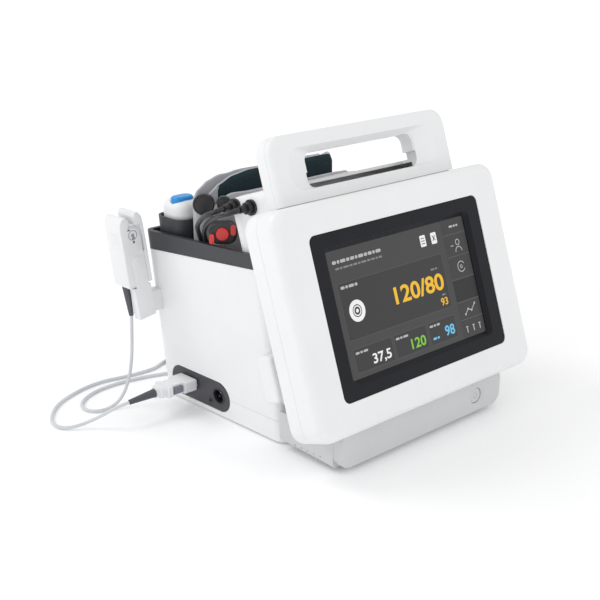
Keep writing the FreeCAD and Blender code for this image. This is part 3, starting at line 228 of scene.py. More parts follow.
LOOKS = {
    WHITE: "front_cover head_rear_cover body_shell base_tray side_port_cover battery_door clip_holder",
    WHITE_SOFT: "handle_front_trim thermometer_body",
    SHADED_WHITE: "foot_frame front_fascia neck_housing power_button",
    CHARCOAL: "basket_liner thermometer_cradle cuff_coupling lcd_panel battery_pack valve_block",
    BEZEL: "display_bezel",
    PANEL: "connector_panel",
    BLACK: "power_socket sensor_socket hose_ports hose_plugs large_cuff_port small_cuff_port speaker pump",
    RUBBER: "rubber_feet display_gasket outer_finger_pad inner_finger_pad button_spring",
    HOSE: "rear_hose front_hose",
    CLIP: "clip_outer_jaw clip_inner_jaw sensor_plug",
    LATCH: "front_plug_latch rear_plug_latch",
    BOOT: "plug_strain_relief sensor_strain_relief",
    CORD: "sensor_lead plug_lead sensor_lead_coil",
    RED: "coupling_button coupling_caps",
    BLUE: "thermometer_button",
    STEEL: "socket_pins base_screws clip_spring clip_pin",
    BRASS: "stand_inserts",
    BOARD: "main_board power_board power_switch",
    GLASS: "touch_glass",
}
for material, names in LOOKS.items():
    for name in names.split():
        data = frame["nodes"][name].data
        data.materials.clear()
        data.materials.append(material)


# ---- pieces -------------------------------------------------------------------------------------
def new_piece(name, data, body="chassis"):
    piece = bpy.data.objects.new(name, data)
    scene.collection.objects.link(piece)
    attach(piece, body)
    return piece


def add_mesh(name, verts, faces, material, body="chassis", smooth=True):
    mesh = bpy.data.meshes.new(name)
    mesh.from_pydata([tuple(v) for v in verts], [], faces)
    mesh.validate()
    for polygon in mesh.polygons:
        polygon.use_smooth = smooth
    mesh.materials.append(material)
    return new_piece(name, mesh, body)


def add_cloth(name, verts, faces, material):
    """A closed, smooth piece with all its faces turned outwards."""
    piece = add_mesh(name, verts, faces, material)
    bm = bmesh.new()
    bm.from_mesh(piece.data)
    bmesh.ops.recalc_face_normals(bm, faces=bm.faces)
    bm.to_mesh(piece.data)
    bm.free()
    return piece


def evaluated_mesh(curve):
    """The mesh that a curve or text makes now."""
    depsgraph = bpy.context.evaluated_depsgraph_get()
    return bpy.data.meshes.new_from_object(curve.evaluated_get(depsgraph))


def outline_rounded(wide, tall, corner, steps=5):
    """Corner points of a rectangle with round corners, anticlockwise."""
    points = []
    for n, (x, y) in enumerate(((1, -1), (1, 1), (-1, 1), (-1, -1))):
        for step in range(steps + 1):
            turn = math.pi / 2 * (n - 1 + step / steps)
            points.append((x * (wide / 2 - corner) + corner * math.cos(turn),
                           y * (tall / 2 - corner) + corner * math.sin(turn)))
    return points


def plate(name, points, place, thick, material, body="chassis", edge=0.0):
    """A thin plate: an outline put in place by place(x, y, height), with a softened top edge."""
    rings = [(0.0, 0.0), (thick - edge, 0.0), (thick, edge)] if edge else [(0.0, 0.0), (thick, 0.0)]
    count = len(points)
    mid_x = sum(x for x, _ in points) / count
    mid_y = sum(y for _, y in points) / count
    verts, faces = [], []
    for height, inset in rings:
        for x, y in points:
            share = inset / (math.hypot(x - mid_x, y - mid_y) or 1)
            verts.append(place(x + (mid_x - x) * share, y + (mid_y - y) * share, height))
    top = (len(rings) - 1) * count
    for start in range(0, top, count):
        for n in range(count):
            a, b = start + n, start + (n + 1) % count
            faces.append((a, b, b + count, a + count))
    faces.append(tuple(range(top, top + count)))
    faces.append(tuple(reversed(range(count))))
    return add_mesh(name, verts, faces, material, body, smooth=False)


def ring(name, place, outer, inner, thick, material, body="chassis", steps=56, start=0.0, share=1.0):
    """A flat ring, or a share of one from the angle start, round the placed origin."""
    whole = share >= 1
    count = steps if whole else steps + 1
    verts, faces = [], []
    for n in range(count):
        turn = start + 2 * math.pi * share * n / steps
        for radius, height in ((outer, 0.0), (outer, thick), (inner, thick), (inner, 0.0)):
            verts.append(place(radius * math.cos(turn), radius * math.sin(turn), height))
    for n in range(steps):
        a, b = 4 * n, 4 * ((n + 1) % count)
        for k in range(4):
            faces.append((a + k, b + k, b + (k + 1) % 4, a + (k + 1) % 4))
    if not whole:
        faces += [(3, 2, 1, 0), tuple(4 * steps + k for k in range(4))]
    return add_mesh(name, verts, faces, material, body, smooth=False)


def flat_line(name, points, half_wide, place, thick, material):
    """A flat line of even width along points, one block for each stretch."""
    verts, faces = [], []
    for (x0, y0), (x1, y1) in zip(points, points[1:]):
        long = math.hypot(x1 - x0, y1 - y0)
        nx, ny = -(y1 - y0) / long * half_wide, (x1 - x0) / long * half_wide
        base = len(verts)
        corners = ((x0 + nx, y0 + ny), (x0 - nx, y0 - ny), (x1 - nx, y1 - ny), (x1 + nx, y1 + ny))
        for height in (0.0, thick):
            verts += [place(x, y, height) for x, y in corners]
        faces += [tuple(base + k for k in (3, 2, 1, 0)), tuple(base + k for k in (4, 5, 6, 7))]
        faces += [tuple(base + k for k in (n, (n + 1) % 4, (n + 1) % 4 + 4, n + 4)) for n in range(4)]
    return add_mesh(name, verts, faces, material, smooth=False)


def lathe(name, origin, axis, profile, material, steps=64):
    """A turned piece: profile of (radius, height) along axis from origin, closed on both ends."""
    axis = Vector(axis).normalized()
    side = axis.orthogonal().normalized()
    other = axis.cross(side)
    verts, faces = [], []
    for radius, height in profile:
        for n in range(steps):
            turn = 2 * math.pi * n / steps
            out = side * math.cos(turn) + other * math.sin(turn)
            verts.append((Vector(origin) + axis * height + out * radius) * MM)
    last = (len(profile) - 1) * steps
    for start in range(0, last, steps):
        for n in range(steps):
            a, b = start + n, start + (n + 1) % steps
            faces.append((a, b, b + steps, a + steps))
    faces.append(tuple(reversed(range(steps))))
    faces.append(tuple(range(last, last + steps)))
    piece = add_mesh(name, verts, faces, material)
    piece.data.set_sharp_from_angle(angle=math.radians(38))
    return piece


def softened(node, name, width, body, material):
    """A CAD piece with its sharp edges rounded, in its place."""
    bm = bmesh.new()
    bm.from_mesh(frame["nodes"][node].data)
    bmesh.ops.remove_doubles(bm, verts=bm.verts, dist=1e-6)
    bmesh.ops.dissolve_limit(bm, angle_limit=math.radians(3), verts=bm.verts, edges=bm.edges)
    sharp = [e for e in bm.edges if len(e.link_faces) == 2 and e.calc_face_angle(0) > math.radians(32)]
    bmesh.ops.bevel(bm, geom=sharp, offset=width * MM, segments=3, profile=0.5, affect="EDGES",
                    clamp_overlap=True)
    bmesh.ops.recalc_face_normals(bm, faces=bm.faces)
    mesh = bpy.data.meshes.new(name)
    bm.to_mesh(mesh)
    bm.free()
    for polygon in mesh.polygons:
        polygon.use_smooth = True
    mesh.set_sharp_from_angle(angle=math.radians(30))
    mesh.materials.append(material)
    piece = new_piece(name, mesh, body)
    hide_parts(node)
    return piece


# ---- camera, light and floor, in metres ---------------------------------------------------------
CAMERA_DOWN, CAMERA_ROUND = 18.78, 43.57      # degrees below level, and to the right of straight ahead
camera_data = bpy.data.cameras.new("camera")
camera = bpy.data.objects.new("camera", camera_data)
scene.collection.objects.link(camera)
scene.camera = camera
camera.location = (-0.6633, -0.6663, 0.4084)
camera.rotation_euler = (math.radians(90 - CAMERA_DOWN), 0, math.radians(-CAMERA_ROUND))
camera_data.lens = 69.95
camera_data.sensor_width = 36
camera_data.shift_x = -0.0023
camera_data.shift_y = 0.0038
camera_data.clip_start = 0.01


def floor_material():
    """Matt white with painted light: an emission that grows away from the object, as the light on a lit
    studio sweep does, so the floor near the object stays darker.
    """
    mat, nodes, links, bsdf = new_material("floor_white")
    bsdf.inputs["Base Color"].default_value = (0.93, 0.93, 0.935, 1)
    bsdf.inputs["Roughness"].default_value = 0.9
    bsdf.inputs["Emission Color"].default_value = (0.97, 0.985, 1, 1)
    coords = nodes.new("ShaderNodeTexCoord")
    away = nodes.new("ShaderNodeVectorMath")
    away.operation = "LENGTH"
    links.new(coords.outputs["Object"], away.inputs[0])
    # Painted light: the floor's emission, weakest next to the object and strongest far from it.
    glow = nodes.new("ShaderNodeMapRange")
    glow.inputs["From Min"].default_value = 0.3
    glow.inputs["From Max"].default_value = 1.6
    glow.inputs["To Min"].default_value = 0.08
    glow.inputs["To Max"].default_value = 0.30
    links.new(away.outputs["Value"], glow.inputs["Value"])
    links.new(glow.outputs["Result"], bsdf.inputs["Emission Strength"])
    return mat


FLOOR_HALF = 25
FLOOR_DROP = 0.0002       # just below the feet, so that the two faces don't meet
floor_data = bpy.data.meshes.new("floor")
floor_corners = [(x * FLOOR_HALF, y * FLOOR_HALF, 0) for x, y in ((-1, -1), (1, -1), (1, 1), (-1, 1))]
floor_data.from_pydata(floor_corners, [], [(0, 1, 2, 3)])
floor = bpy.data.objects.new("floor", floor_data)
scene.collection.objects.link(floor)
floor.location.z = -FLOOR_DROP
floor_data.materials.append(floor_material())

world = bpy.data.worlds.new("studio")
scene.world = world
world.use_nodes = True
world.node_tree.nodes["Background"].inputs["Color"].default_value = (1, 1, 1, 1)
world.node_tree.nodes["Background"].inputs["Strength"].default_value = 0.80


def area_light(name, at, target, power, wide):
    data = bpy.data.lights.new(name, "AREA")
    data.energy = power
    data.size = wide
    light = bpy.data.objects.new(name, data)
    scene.collection.objects.link(light)
    light.location = at
    light.rotation_euler = (Vector(target) - Vector(at)).to_track_quat("-Z", "Y").to_euler()


area_light("key", (-0.8, 0.9, 1.5), (0, 0, 0.1), 8.0, 0.8)
area_light("left", (-1.6, -0.2, 0.9), (0, 0, 0.12), 2.5, 0.8)
area_light("front", (0.5, -1.6, 1.3), (0, 0, 0.1), 5.0, 1.0)
scene.view_settings.view_transform = "Standard"

# ---- cords and hoses ----------------------------------------------------------------------------
LYING = 1.5       # the height of the lead's middle where it lies on the table
SENSOR_LEAD = [(-124.75, 109, 79.4), (-125.3, 109, 58), (-127.3, 108.6, 38), (-132, 108, 20),
               (-141, 108, 6.5), (-153, 108.6, 1.6), (-165.5, 113, LYING), (-168.5, 124, LYING),
               (-163.5, 135, LYING), (-152, 144, LYING), (-134, 150.5, LYING), (-112, 150.5, LYING),
               (-91, 147, LYING), (-72, 141, LYING), (-56, 134.5, LYING), (-38, 134.5, LYING)]
PLUG_LEAD = [(-38, 165.5, LYING), (-51, 165.5, LYING), (-68, 156.5, LYING), (-86, 157, LYING),
             (-103.6, 159.5, LYING), (-120, 164, LYING), (-141, 162.5, LYING), (-160, 156.5, LYING),
             (-179, 147.6, LYING), (-194, 133, LYING), (-203, 119, LYING), (-204.5, 104.5, 1.6),
             (-196, 96.5, 2.4), (-185, 91, 5.5), (-177, 82.5, 11.5), (-169, 73.5, 19.4), (-157.8, 71, 21.1)]
COIL_X, COIL_Y = -38, 150
COIL_TURNS, COIL_STEPS = 3.5, 14       # steps to a turn
COIL_RADIUS, COIL_OUTER = 14.3, 2.6    # the outer turns lie this much further out
COIL_LAYER = 2.75
REAR_HOSE = [(-111.6, 0, 190.0), (-120, 1, 188.5), (-120.5, 12, 184), (-113, 28, 175), (-104.5, 42, 166),
             (-97, 47, 155), (-94.5, 45.5, 143), (-91.5, 36, 135), (-87, 25, 129), (-83, 17, 119)]
FRONT_HOSE = [(-111.6, -18.5, 192.6), (-120.5, -17.5, 191), (-122, -6, 187), (-115.5, 10, 180),
              (-107.5, 27, 171), (-100.5, 38.5, 161), (-96.5, 39, 150.5), (-92, 29, 146.5), (-87, 15, 145),
              (-81.5, 4, 138), (-78, -1, 127)]
CORD_D, HOSE_D = 2.8, 3.8


def clamped(value):
    return max(0.0, min(1.0, value))


def coil_points():
    """The spare length, wound upwards for two layers and then back down outside."""
    points = []
    total = int(COIL_STEPS * COIL_TURNS)
    climb_over, out_from, out_to, down_from, down_to = 0.27, 0.55, 0.67, 0.58, 0.93
    for n in range(1, total):
        share = n / total
        turn = -math.pi / 2 + 2 * math.pi * n / COIL_STEPS
        radius = COIL_RADIUS + COIL_OUTER * clamped((share - out_from) / (out_to - out_from))
        if share < down_from:
            layers = min(2.0, share / climb_over)
        else:
            layers = 2 * clamped((down_to - share) / (down_to - down_from))
        points.append((COIL_X + radius * math.cos(turn), COIL_Y + radius * math.sin(turn),
                       LYING + COIL_LAYER * layers))
    return points


def cord_curve(name, points, diameter, material):
    data = bpy.data.curves.new(name, "CURVE")
    data.dimensions = "3D"
    data.bevel_depth = 1.0          # metres, times each point's own radius
    data.bevel_resolution = 5
    data.resolution_u = 8
    data.use_fill_caps = True
    spline = data.splines.new("NURBS")
    spline.points.add(len(points) - 1)
    for spot, (x, y, z) in zip(spline.points, points):
        spot.co = (x * MM, y * MM, z * MM, 1)
        spot.radius = diameter / 2 * MM
    spline.order_u = 3
    spline.use_endpoint_u = True
    data.materials.append(material)
    return new_piece(name, data)


def curve_length(piece):
    """The length of the curve's own line, to a millimetre."""
    depth = piece.data.bevel_depth
    piece.data.bevel_depth = 0
    mesh = evaluated_mesh(piece)
    piece.data.bevel_depth = depth
    spots = [v.co for v in mesh.vertices]
    return round(sum((spots[a] - spots[b]).length for a, b in (e.vertices for e in mesh.edges)), 3)


lead = cord_curve("sensor_cord", SENSOR_LEAD + coil_points() + PLUG_LEAD, CORD_D, CORD)
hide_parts("sensor_lead", "sensor_lead_coil", "plug_lead")
curve_length(lead)

for label, points in (("rear", REAR_HOSE), ("front", FRONT_HOSE)):
    hose = cord_curve(label + "_cuff_hose", points, HOSE_D, HOSE)
    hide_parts(label + "_hose")
    curve_length(hose)

# ---- the rolled cuffs ---------------------------------------------------------------------------
CLOTH_THICK = 2.7
CLOTH_LOW = 66.5          # the basket's floor
CLOTH_STEP = 5            # between the points of a straight stretch
FOLD_STEPS = 9
LARGE_MID_Y, LARGE_OUTER, LARGE_INNER = 61.0, 7.4, 4.0      # a roll's middle and its folds' radii
SMALL_MID_Y, SMALL_OUTER, SMALL_INNER = 40.0, 6.5, 3.1


def along(start, end):
    """Points of a straight stretch in plan, without its first one."""
    (x0, y0), (x1, y1) = start, end
    count = max(1, round(math.hypot(x1 - x0, y1 - y0) / CLOTH_STEP))
    return [(x0 + (x1 - x0) * n / count, y0 + (y1 - y0) * n / count) for n in range(1, count + 1)]


def fold(middle, radius, start):
    """Points round half a turn from the angle start, without the first one."""
    angles = [math.radians(start + 180 * n / FOLD_STEPS) for n in range(1, FOLD_STEPS + 1)]
    return [(middle[0] + radius * math.cos(a), middle[1] + radius * math.sin(a)) for a in angles]


def roll_line(mid_y, outer, inner, start, left, right, inner_left, end):
    """A flat roll in plan: along the back, round the left, along the front and back inside."""
    turn = (outer + inner) / 2
    line = [(start, mid_y + outer)]
    line += along(line[-1], (left, mid_y + outer))
    line += fold((left, mid_y), outer, 90)
    line += along((left, mid_y - outer), (right, mid_y - outer))
    line += fold((right, mid_y - outer + turn), turn, -90)
    line += along((right, mid_y + inner), (inner_left, mid_y + inner))
    line += fold((inner_left, mid_y), inner, 90)
    line += along((inner_left, mid_y - inner), (end, mid_y - inner))
    return line


def cloth_section(top):
    """Across the cloth, as (offset, height): up one side, round the upper edge, down the other."""
    rows = 16
    half = CLOTH_THICK / 2
    levels = [CLOTH_LOW + (top - CLOTH_LOW) * k / rows for k in range(rows + 1)]
    turns = [math.radians(30 * k) for k in range(1, 6)]
    section = [(half, z) for z in levels]
    section += [(half * math.cos(turn), top + half * math.sin(turn)) for turn in turns]
    section += [(-half, z) for z in reversed(levels)]
    return section


def band(name, line, top_at, material, wave, seed):
    """Cloth that stands on its edge along a line in plan, with a rounded upper edge and soft ripples."""
    verts, faces = [], []
    count = len(line)
    for n, (x, y) in enumerate(line):
        before, after = line[max(0, n - 1)], line[min(count - 1, n + 1)]
        dx, dy = after[0] - before[0], after[1] - before[1]
        run = math.hypot(dx, dy) or 1
        nx, ny = -dy / run, dx / run
        top = top_at(x, y, n / (count - 1)) - CLOTH_THICK / 2
        section = cloth_section(top)
        for offset, z in section:
            ripple = wave * noise.noise(Vector((x * 0.028 + seed, y * 0.05, z * 0.03)))
            fine = 0.12 * wave * noise.noise(Vector((x * 0.2, y * 0.2 + seed, z * 0.2)))
            uneven = 0.8 * wave * noise.noise(Vector((x * 0.05, seed + 3, 0)))
            lift = uneven * max(0.0, (z - CLOTH_LOW) / (top - CLOTH_LOW)) ** 3
            out = offset + ripple + fine
            verts.append(Vector((x + nx * out, y + ny * out, z + lift)) * MM)
    size = len(section)
    for start in range(0, (count - 1) * size, size):
        for k in range(size):
            a, b = start + k, start + (k + 1) % size
            faces.append((a, b, b + size, a + size))
    faces.append(tuple(reversed(range(size))))
    faces.append(tuple(range((count - 1) * size, count * size)))
    return add_cloth(name, verts, faces, material)


def between(x, stops):
    """A height that runs smoothly through stops of (x, z)."""
    if x <= stops[0][0]:
        return stops[0][1]
    for (x0, z0), (x1, z1) in zip(stops, stops[1:]):
        if x <= x1:
            t = (x - x0) / (x1 - x0)
            eased = t * t * (3 - 2 * t) * 0.4 + t * 0.6
            return z0 + (z1 - z0) * eased
    return stops[-1][1]


def large_top(x):
    return between(x, [(-91, 171), (-88, 179), (-82, 187.5), (-72, 194), (-58, 199.5), (-40, 202),
                       (59, 202.6)])


def small_top(x):
    return between(x, [(-86, 172), (-82, 179), (-74, 184.5), (-64, 187.3), (70, 187.6), (78, 181)])


def rolled(top, back, depth):
    """A roll's upper edge: its back layers and inner turns sit lower, most of all at the left fold."""
    def height(x, y, share):
        inner = clamped((share - 0.52) / 0.04)
        left = clamped((-48 - x) / 22)
        behind = clamped((y - (back - 9)) / 8) * (1 - left)
        return top(x) - depth * behind - inner * (2.5 + 13 * left)
    return height


large_line = roll_line(LARGE_MID_Y, LARGE_OUTER, LARGE_INNER, 57, -82.2, 52, -78, 44)
large_edge = rolled(large_top, LARGE_MID_Y + LARGE_OUTER, 3.0)
large_band = band("large_cuff_band", large_line, large_edge, CUFF_EDGE, 0.7, 1.7)
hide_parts("large_cuff")

small_line = roll_line(SMALL_MID_Y, SMALL_OUTER, SMALL_INNER, 74, -79.3, 72.6, -76, 60)
small_edge = rolled(small_top, SMALL_MID_Y + SMALL_OUTER, 1.5)
small_band = band("small_cuff_band", small_line, small_edge, CUFF_GREY, 0.6, 5.1)
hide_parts("small_cuff")


def panel(name, left, right, low, top_at, face_y, crown, inset, material, corner=7):
    """A filled panel sewn to a band's front: crowned, with a sewn channel and one round corner."""
    across, up = 56, 34
    verts, faces = [], []
    for front in (0, 1):
        for j in range(up + 1):
            for i in range(across + 1):
                t = j / up
                x = left + (right - left) * i / across
                top = top_at(x)
                z = low + (top - low) * t
                edge = min(x - left, right - x, z - low, top - z)
                swell = 1 - math.exp(-max(0.0, edge) / 2.2)
                channel = 0.75 * math.exp(-((edge - inset) / 1.1) ** 2)
                puff = 0.35 * noise.noise(Vector((x * 0.06, 2.0, z * 0.06)))
                rise = 0.15 + crown * swell * (1 - channel) + puff * swell
                past = max(0.0, corner - (right - x)) if t > 0.5 else 0.0
                drop = corner - math.sqrt(corner ** 2 - past ** 2)
                verts.append(Vector((x, face_y - rise * front, z - drop * t)) * MM)
    row = across + 1
    base = (up + 1) * row
    for j in range(up):
        for i in range(across):
            a = j * row + i
            faces.append((a, a + row, a + row + 1, a + 1))
            faces.append((base + a, base + a + 1, base + a + row + 1, base + a + row))
    rim = list(range(row))
    rim += [j * row + across for j in range(1, up + 1)]
    rim += [up * row + i for i in range(across - 1, -1, -1)]
    rim += [j * row for j in range(up - 1, 0, -1)]
    for a, b in zip(rim, rim[1:] + rim[:1]):
        faces.append((a, b, base + b, base + a))
    return add_cloth(name, verts, faces, material)


teal_panel = panel("large_cuff_panel", -74, 58, 72, lambda x: large_top(x) - 0.5, 52.4, 2.2, 6, CUFF_TEAL)

STITCH_FAT, STITCH_LONG, STITCH_GAP = 0.28, 2.2, 1.3
STITCH_RINGS, STITCH_SIDES = 5, 6


def stitches(name, line, material):
    """A row of stitches on a cuff's front, each a small capsule that dips at its ends."""
    reach = Vector((0, -1, 0))
    verts, faces = [], []
    spots = [Vector(p) for p in line]
    for start, end in zip(spots, spots[1:]):
        way = (end - start).normalized()
        side = way.cross(reach).normalized()
        at = STITCH_GAP / 2
        while at + STITCH_LONG < (end - start).length:
            base = len(verts)
            for k in range(STITCH_RINGS):
                t = k / (STITCH_RINGS - 1)
                arch = math.sin(math.pi * t)
                centre = start + way * (at + STITCH_LONG * t) + reach * (STITCH_FAT * (arch - 0.5))
                fat = STITCH_FAT * (0.45 + 0.55 * arch)
                for m in range(STITCH_SIDES):
                    turn = 2 * math.pi / STITCH_SIDES * m
                    verts.append((centre + (side * math.cos(turn) + reach * math.sin(turn)) * fat) * MM)
            last = base + (STITCH_RINGS - 1) * STITCH_SIDES
            for a in range(base, last, STITCH_SIDES):
                for m in range(STITCH_SIDES):
                    b, after = a + STITCH_SIDES, (m + 1) % STITCH_SIDES
                    faces.append((a + m, a + after, b + after, b + m))
            faces.append(tuple(reversed(range(base, base + STITCH_SIDES))))
            faces.append(tuple(range(last, last + STITCH_SIDES)))
            at += STITCH_LONG + STITCH_GAP
    return add_mesh(name, verts, faces, material)


large_seam = [(x, 50.2, large_top(x) - 6.8) for x in range(-66, 50, 4)]
large_seam += [(51, 50.2, 191), (51.5, 50.2, 150), (51.5, 50.2, 80)]
stitches("large_cuff_stitches", large_seam, THREAD)
small_seam = [(x, 31.9, small_top(x) - 4.5) for x in range(-74, 74, 4)]
stitches("small_cuff_stitches", small_seam, THREAD_GREY)

# ---- the connector discs on the cuffs -----------------------------------------------------------
CORNER = (-math.sqrt(0.5), -math.sqrt(0.5), 0)      # out over the basket's front left corner
for label, spot, radius in (("large", (-97, 42, 183), 8.7), ("small", (-88, 28, 185), 5.6)):
    dished = [(radius - 0.6, -0.1), (radius - 0.35, 0.35), (radius - 1.2, 0.8), (radius - 1.7, 0.55),
              (radius * 0.6, 0.95), (radius * 0.3, 1.15), (0.3, 1.2)]
    lathe(label + "_disc_face", spot, CORNER, dished, BLACK)

# ---- the display, from its back plate up to its lettering ---------------------------------------
VIEW_U, VIEW_V = 79.6, 49.1           # half the picture's width and height
COLUMN_U, COLUMN_WIDE = 65.5, 28.0    # the column of icons on the right
FIELD_THICK = 0.03
TILE_LIFT, TILE_EDGE, TILE_CORNER = 0.04, 0.35, 1.0
ICON_LIFT, ICON_THICK = 0.1, 0.05
READING_LIFT = 0.12
DASHES, DASH_GAP = (4.2, 2.6, 5.6, 3.4), 0.9


def on_glass(du, dv, lift):
    """Puts an outline on the glass with its origin at du, dv."""
    return lambda x, y, height: head(du + x, dv + y, GLASS_W + lift + height)


def field(name, u, v, wide, tall, corner, lift, fill, thick=FIELD_THICK):
    plate(name, outline_rounded(wide, tall, corner), on_glass(u, v, lift), thick, fill)


def tile(name, left, right, low, high):
    """A dark field with a thin lighter edge."""
    u, v, wide, tall = (left + right) / 2, (low + high) / 2, right - left, high - low
    field(name + "_edge", u, v, wide, tall, TILE_CORNER, TILE_LIFT, SHOW_EDGE, 0.02)
    field(name, u, v, wide - 2 * TILE_EDGE, tall - 2 * TILE_EDGE, TILE_CORNER - 0.3, TILE_LIFT + 0.02,
          SHOW_TILE)


def bar(name, left, right, mid, tall, fill=SHOW_TEXT):
    """A label drawn as a row of plain dashes."""
    at, n = left, 0
    while at < right - 0.4:
        long = min(right - at, DASHES[n % len(DASHES)])
        plate(f"{name}_{n}", outline_rounded(long, tall, tall * 0.35, 2),
              on_glass(at + long / 2, mid, ICON_LIFT), 0.04, fill)
        at += long + DASH_GAP
        n += 1


def icon_ring(name, u, v, outer, inner, fill=SHOW_TEXT, lift=ICON_LIFT, **part):
    ring(name, on_glass(u, v, lift), outer, inner, ICON_THICK, fill, **part)


def icon_line(name, points, half_wide, fill=SHOW_TEXT, lift=ICON_LIFT):
    flat_line(name, points, half_wide, on_glass(0, 0, lift), ICON_THICK, fill)


def number(name, text, low, high, fill, heavy=0.018):
    """A reading on the display, fitted between two corners on the glass."""
    data = bpy.data.curves.new(name, "FONT")
    data.body = text
    data.extrude = 0.02
    data.offset = heavy
    holder = bpy.data.objects.new(name + "_curve", data)
    scene.collection.objects.link(holder)
    mesh = evaluated_mesh(holder)
    bpy.data.objects.remove(holder)
    xs, ys = [v.co.x for v in mesh.vertices], [v.co.y for v in mesh.vertices]
    scale_u = (high[0] - low[0]) / (max(xs) - min(xs))
    scale_v = (high[1] - low[1]) / (max(ys) - min(ys))
    for vert in mesh.vertices:
        thick = ICON_THICK if vert.co.z > 0 else 0.0
        vert.co = head(low[0] + (vert.co.x - min(xs)) * scale_u, low[1] + (vert.co.y - min(ys)) * scale_v,
                       GLASS_W + READING_LIFT + thick)
    mesh.materials.clear()
    mesh.materials.append(fill)
    return new_piece(name, mesh)


def header():
    bar("name_line", -75, -22, 40.2, 2.5)
    bar("detail_line", -73, -22, 35.2, 1.5, SHOW_DIM)
    for n, u in enumerate((27.2, 40.4)):
        field(f"action_{n}", u, 37.7, 6.6, 9.2, 0.9, 0.06, SHOW_WHITE, 0.05)
    for n in range(3):
        v = 35.6 + 2.1 * n
        icon_line(f"action_rows_{n}", [(25.2, v), (29.2, v)], 0.32, SHOW_TILE, 0.12)
    icon_line("action_cross_a", [(38.8, 35.6), (42.0, 39.8)], 0.4, SHOW_TILE, 0.12)
    icon_line("action_cross_b", [(42.0, 35.6), (38.8, 39.8)], 0.4, SHOW_TILE, 0.16)


def pressure_field():
    tile("pressure_tile", -74.8, 45.2, -20.2, 24.2)
    bar("pressure_label", -72, -54, 20.4, 2.2)
    bar("pressure_unit", 29, 38, 13.6, 1.4, SHOW_DIM)
    bar("mean_unit", 36, 41, -8.6, 1.3, SHOW_DIM)
    number("reading_pressure", "120/80", (-17.6, -4.6), (41.0, 9.2), SHOW_AMBER, heavy=0.022)
    number("reading_mean", "93", (33.2, -17.2), (41.4, -11.0), SHOW_AMBER)
    icon_ring("cuff_icon_disc", -60, 0.7, 8.4, 4.9, SHOW_WHITE)
    icon_ring("cuff_icon_ring", -60, 0.7, 4.1, 3.1, SHOW_WHITE)
    icon_ring("cuff_icon_core", -60, 0.7, 1.5, 0.1, SHOW_WHITE)


def lower_fields():
    for name, left, right in (("temperature", -73.4, -31), ("pulse", -28.6, 9.4), ("oxygen", 11.8, 45.2)):
        tile(name + "_tile", left, right, -45.4, -26.6)
    for name, left, right in (("temperature", -71.5, -58), ("pulse", -26.6, -12), ("oxygen", 13.6, 26)):
        bar(name + "_label", left, right, -30.2, 1.7)
    number("reading_temperature", "37,5", (-54.8, -43.4), (-34.4, -34.4), SHOW_WHITE)
    number("reading_pulse", "120", (-10.6, -42.2), (6.4, -34.0), SHOW_GREEN)
    number("reading_oxygen", "98", (30.6, -41.8), (42.2, -33.4), SHOW_BLUE)
    bar("oxygen_bar", 15, 23, -40.4, 1.8, SHOW_BLUE)


def icon_column():
    for n, v in enumerate((36.6, 18.4, -0.4, -19.4, -34.2)):
        icon_line(f"column_line_{n}", [(52.0, v), (79.4, v)], 0.3, SHOW_EDGE, 0.08)
    bar("column_label", 61, 72, 43, 1.7)
    field("column_idle", COLUMN_U, -9.9, 27.2, 17.6, 0.6, 0.08, SHOW_DARK)
    icon_ring("person_head", 67.5, 29.3, 2.6, 1.9)
    icon_ring("person_body", 67.5, 21.6, 4.3, 3.6, share=0.5)
    icon_line("person_link", [(58.5, 27.2), (61.8, 27.2)], 0.35)
    icon_ring("cycle_ring", 66.2, 9.0, 4.6, 3.9, start=0.5, share=0.84)
    icon_ring("cycle_core", 66.2, 9.0, 1.5, 0.9)
    chart = [(59.2, -30.2), (63.4, -26.4), (67.4, -28.2), (72.4, -23.4)]
    icon_line("chart_line", chart, 0.35)
    for n, (u, v) in enumerate(chart):
        icon_ring(f"chart_dot_{n}", u, v, 0.95, 0.05, lift=0.14, steps=20)
    for n, u in enumerate((57.6, 65.8, 73.6)):
        icon_line(f"status_stem_{n}", [(u, -45.2), (u, -41.0)], 0.5)
        icon_line(f"status_cap_{n}", [(u - 1.3, -40.4), (u + 1.3, -40.4)], 0.45)


field("display_back", 0, 0, VIEW_U * 2, VIEW_V * 2, 1.0, 0.0, SHOW_BACK)
field("display_column", COLUMN_U, 0, COLUMN_WIDE, VIEW_V * 2, 0.6, 0.03, SHOW_SIDE)
header()
pressure_field()
lower_fields()
icon_column()

# ---- the power button ---------------------------------------------------------------------------
button_low, button_high = (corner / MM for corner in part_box("power_button"))


def on_button(x, y, height):
    """A point on the button's front face, from its middle."""
    return Vector(((button_low.x + button_high.x) / 2 + x, button_low.y - height,
                   (button_low.z + button_high.z) / 2 + y)) * MM


ring("button_mark_ring", on_button, 2.5, 2.05, 0.04, MARK, "button", start=math.radians(125), share=0.81)
plate("button_mark_bar", outline_rounded(0.5, 2.4, 0.2, 2), lambda x, y, h: on_button(x, y + 2.0, h),
      0.04, MARK, "button")

bellows = softened("button_spring", "button_bellows", 0.1, "chassis", RUBBER)
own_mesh(bellows)

# ---- the finger sensor --------------------------------------------------------------------------
for node, body, width, slot in (("clip_holder", "chassis", 1.6, "casing_grey"),
                                ("clip_outer_jaw", "chassis", 0.9, "clip_grey"),
                                ("clip_inner_jaw", "clip_jaw", 0.9, "clip_grey")):
    softened(node, node + "_soft", width, body, CLIP)

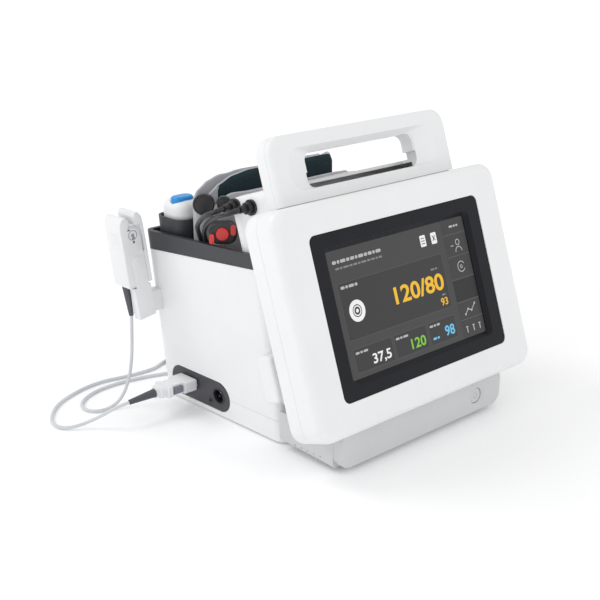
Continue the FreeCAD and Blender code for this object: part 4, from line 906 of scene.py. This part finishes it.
CLIP_LEAN = math.radians(9)
CLIP_HALF = 11.0            # half its width, along the hinge pin
CLIP_BACK_X = -11.55        # the grip face of its outer jaw
GRIPS, GRIP_PITCH, GRIP_LOW = 5, 3.2, -7
CLIP_PIN = next(Vector(joint["pos_m"]) for joint in frame["record"]["behaviour"]["joints"]
                if joint["name"] == "clip_open") / MM


def in_clip(x, y, z):
    """A point in the sensor's leaning frame: x to the housing, y along the pin, z up the jaws."""
    lean_cos, lean_sin = math.cos(CLIP_LEAN), math.sin(CLIP_LEAN)
    return (CLIP_PIN + Vector((x * lean_cos - z * lean_sin, y, x * lean_sin + z * lean_cos))) * MM


def on_clip(dx, dz, lift=0.0):
    """Puts an outline on the sensor's front side with its origin at dx, dz."""
    return lambda x, y, height: in_clip(dx + x, -CLIP_HALF - lift - height, dz + y)


def on_grip(dz):
    """Puts an outline on the outer jaw's grip face, dz up from the pin."""
    return lambda x, y, height: in_clip(CLIP_BACK_X - height, x, dz + y)


ring("clip_badge_ring", on_clip(-0.4, 2.6), 4.3, 3.7, 0.12, MARK)
ring("clip_badge_dot", on_clip(-0.4, 2.6), 1.6, 0.1, 0.1, MARK)
# The notch and the slot are drawn as flat black plates: painted shade for the hollows in the white sensor.
plate("clip_notch_shade", outline_rounded(1.6, 2.0, 0.3, 2), on_clip(-0.4, -3.4), 0.08, BLACK)
plate("clip_slot_shade", outline_rounded(2.6, 1.0, 0.3, 2), on_clip(-3.4, 7.8), 0.08, BLACK)

# The light shield that closes the sensor's side round the holder's post.
SHIELD = [(-7.3, -41.6), (7.2, -41.6), (7.2, -14.6), (6.4, -12.2), (-7.3, -13.4)]
plate("clip_side_shield", SHIELD, on_clip(0, 0, -0.6), 0.5, CLIP)
for n in range(GRIPS):
    plate(f"clip_grip_{n}", outline_rounded(13 - 0.9 * abs(n - 2), 1.1, 0.5, 4),
          on_grip(GRIP_LOW + GRIP_PITCH * n), 0.5, CLIP, edge=0.3)

# ---- the dots along the foot's side -------------------------------------------------------------
foot_side_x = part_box("foot_frame")[0].x / MM
DOT_FRONT_Y, DOT_PITCH, DOT_Z = -92.0, 7.0, 9.5
for n in range(5):
    plate(f"foot_dot_{n}", outline_rounded(1.8, 0.9, 0.4, 3),
          lambda x, y, h: Vector((foot_side_x - h, DOT_FRONT_Y + DOT_PITCH * n + x, DOT_Z + y)) * MM,
          0.06, MARK)
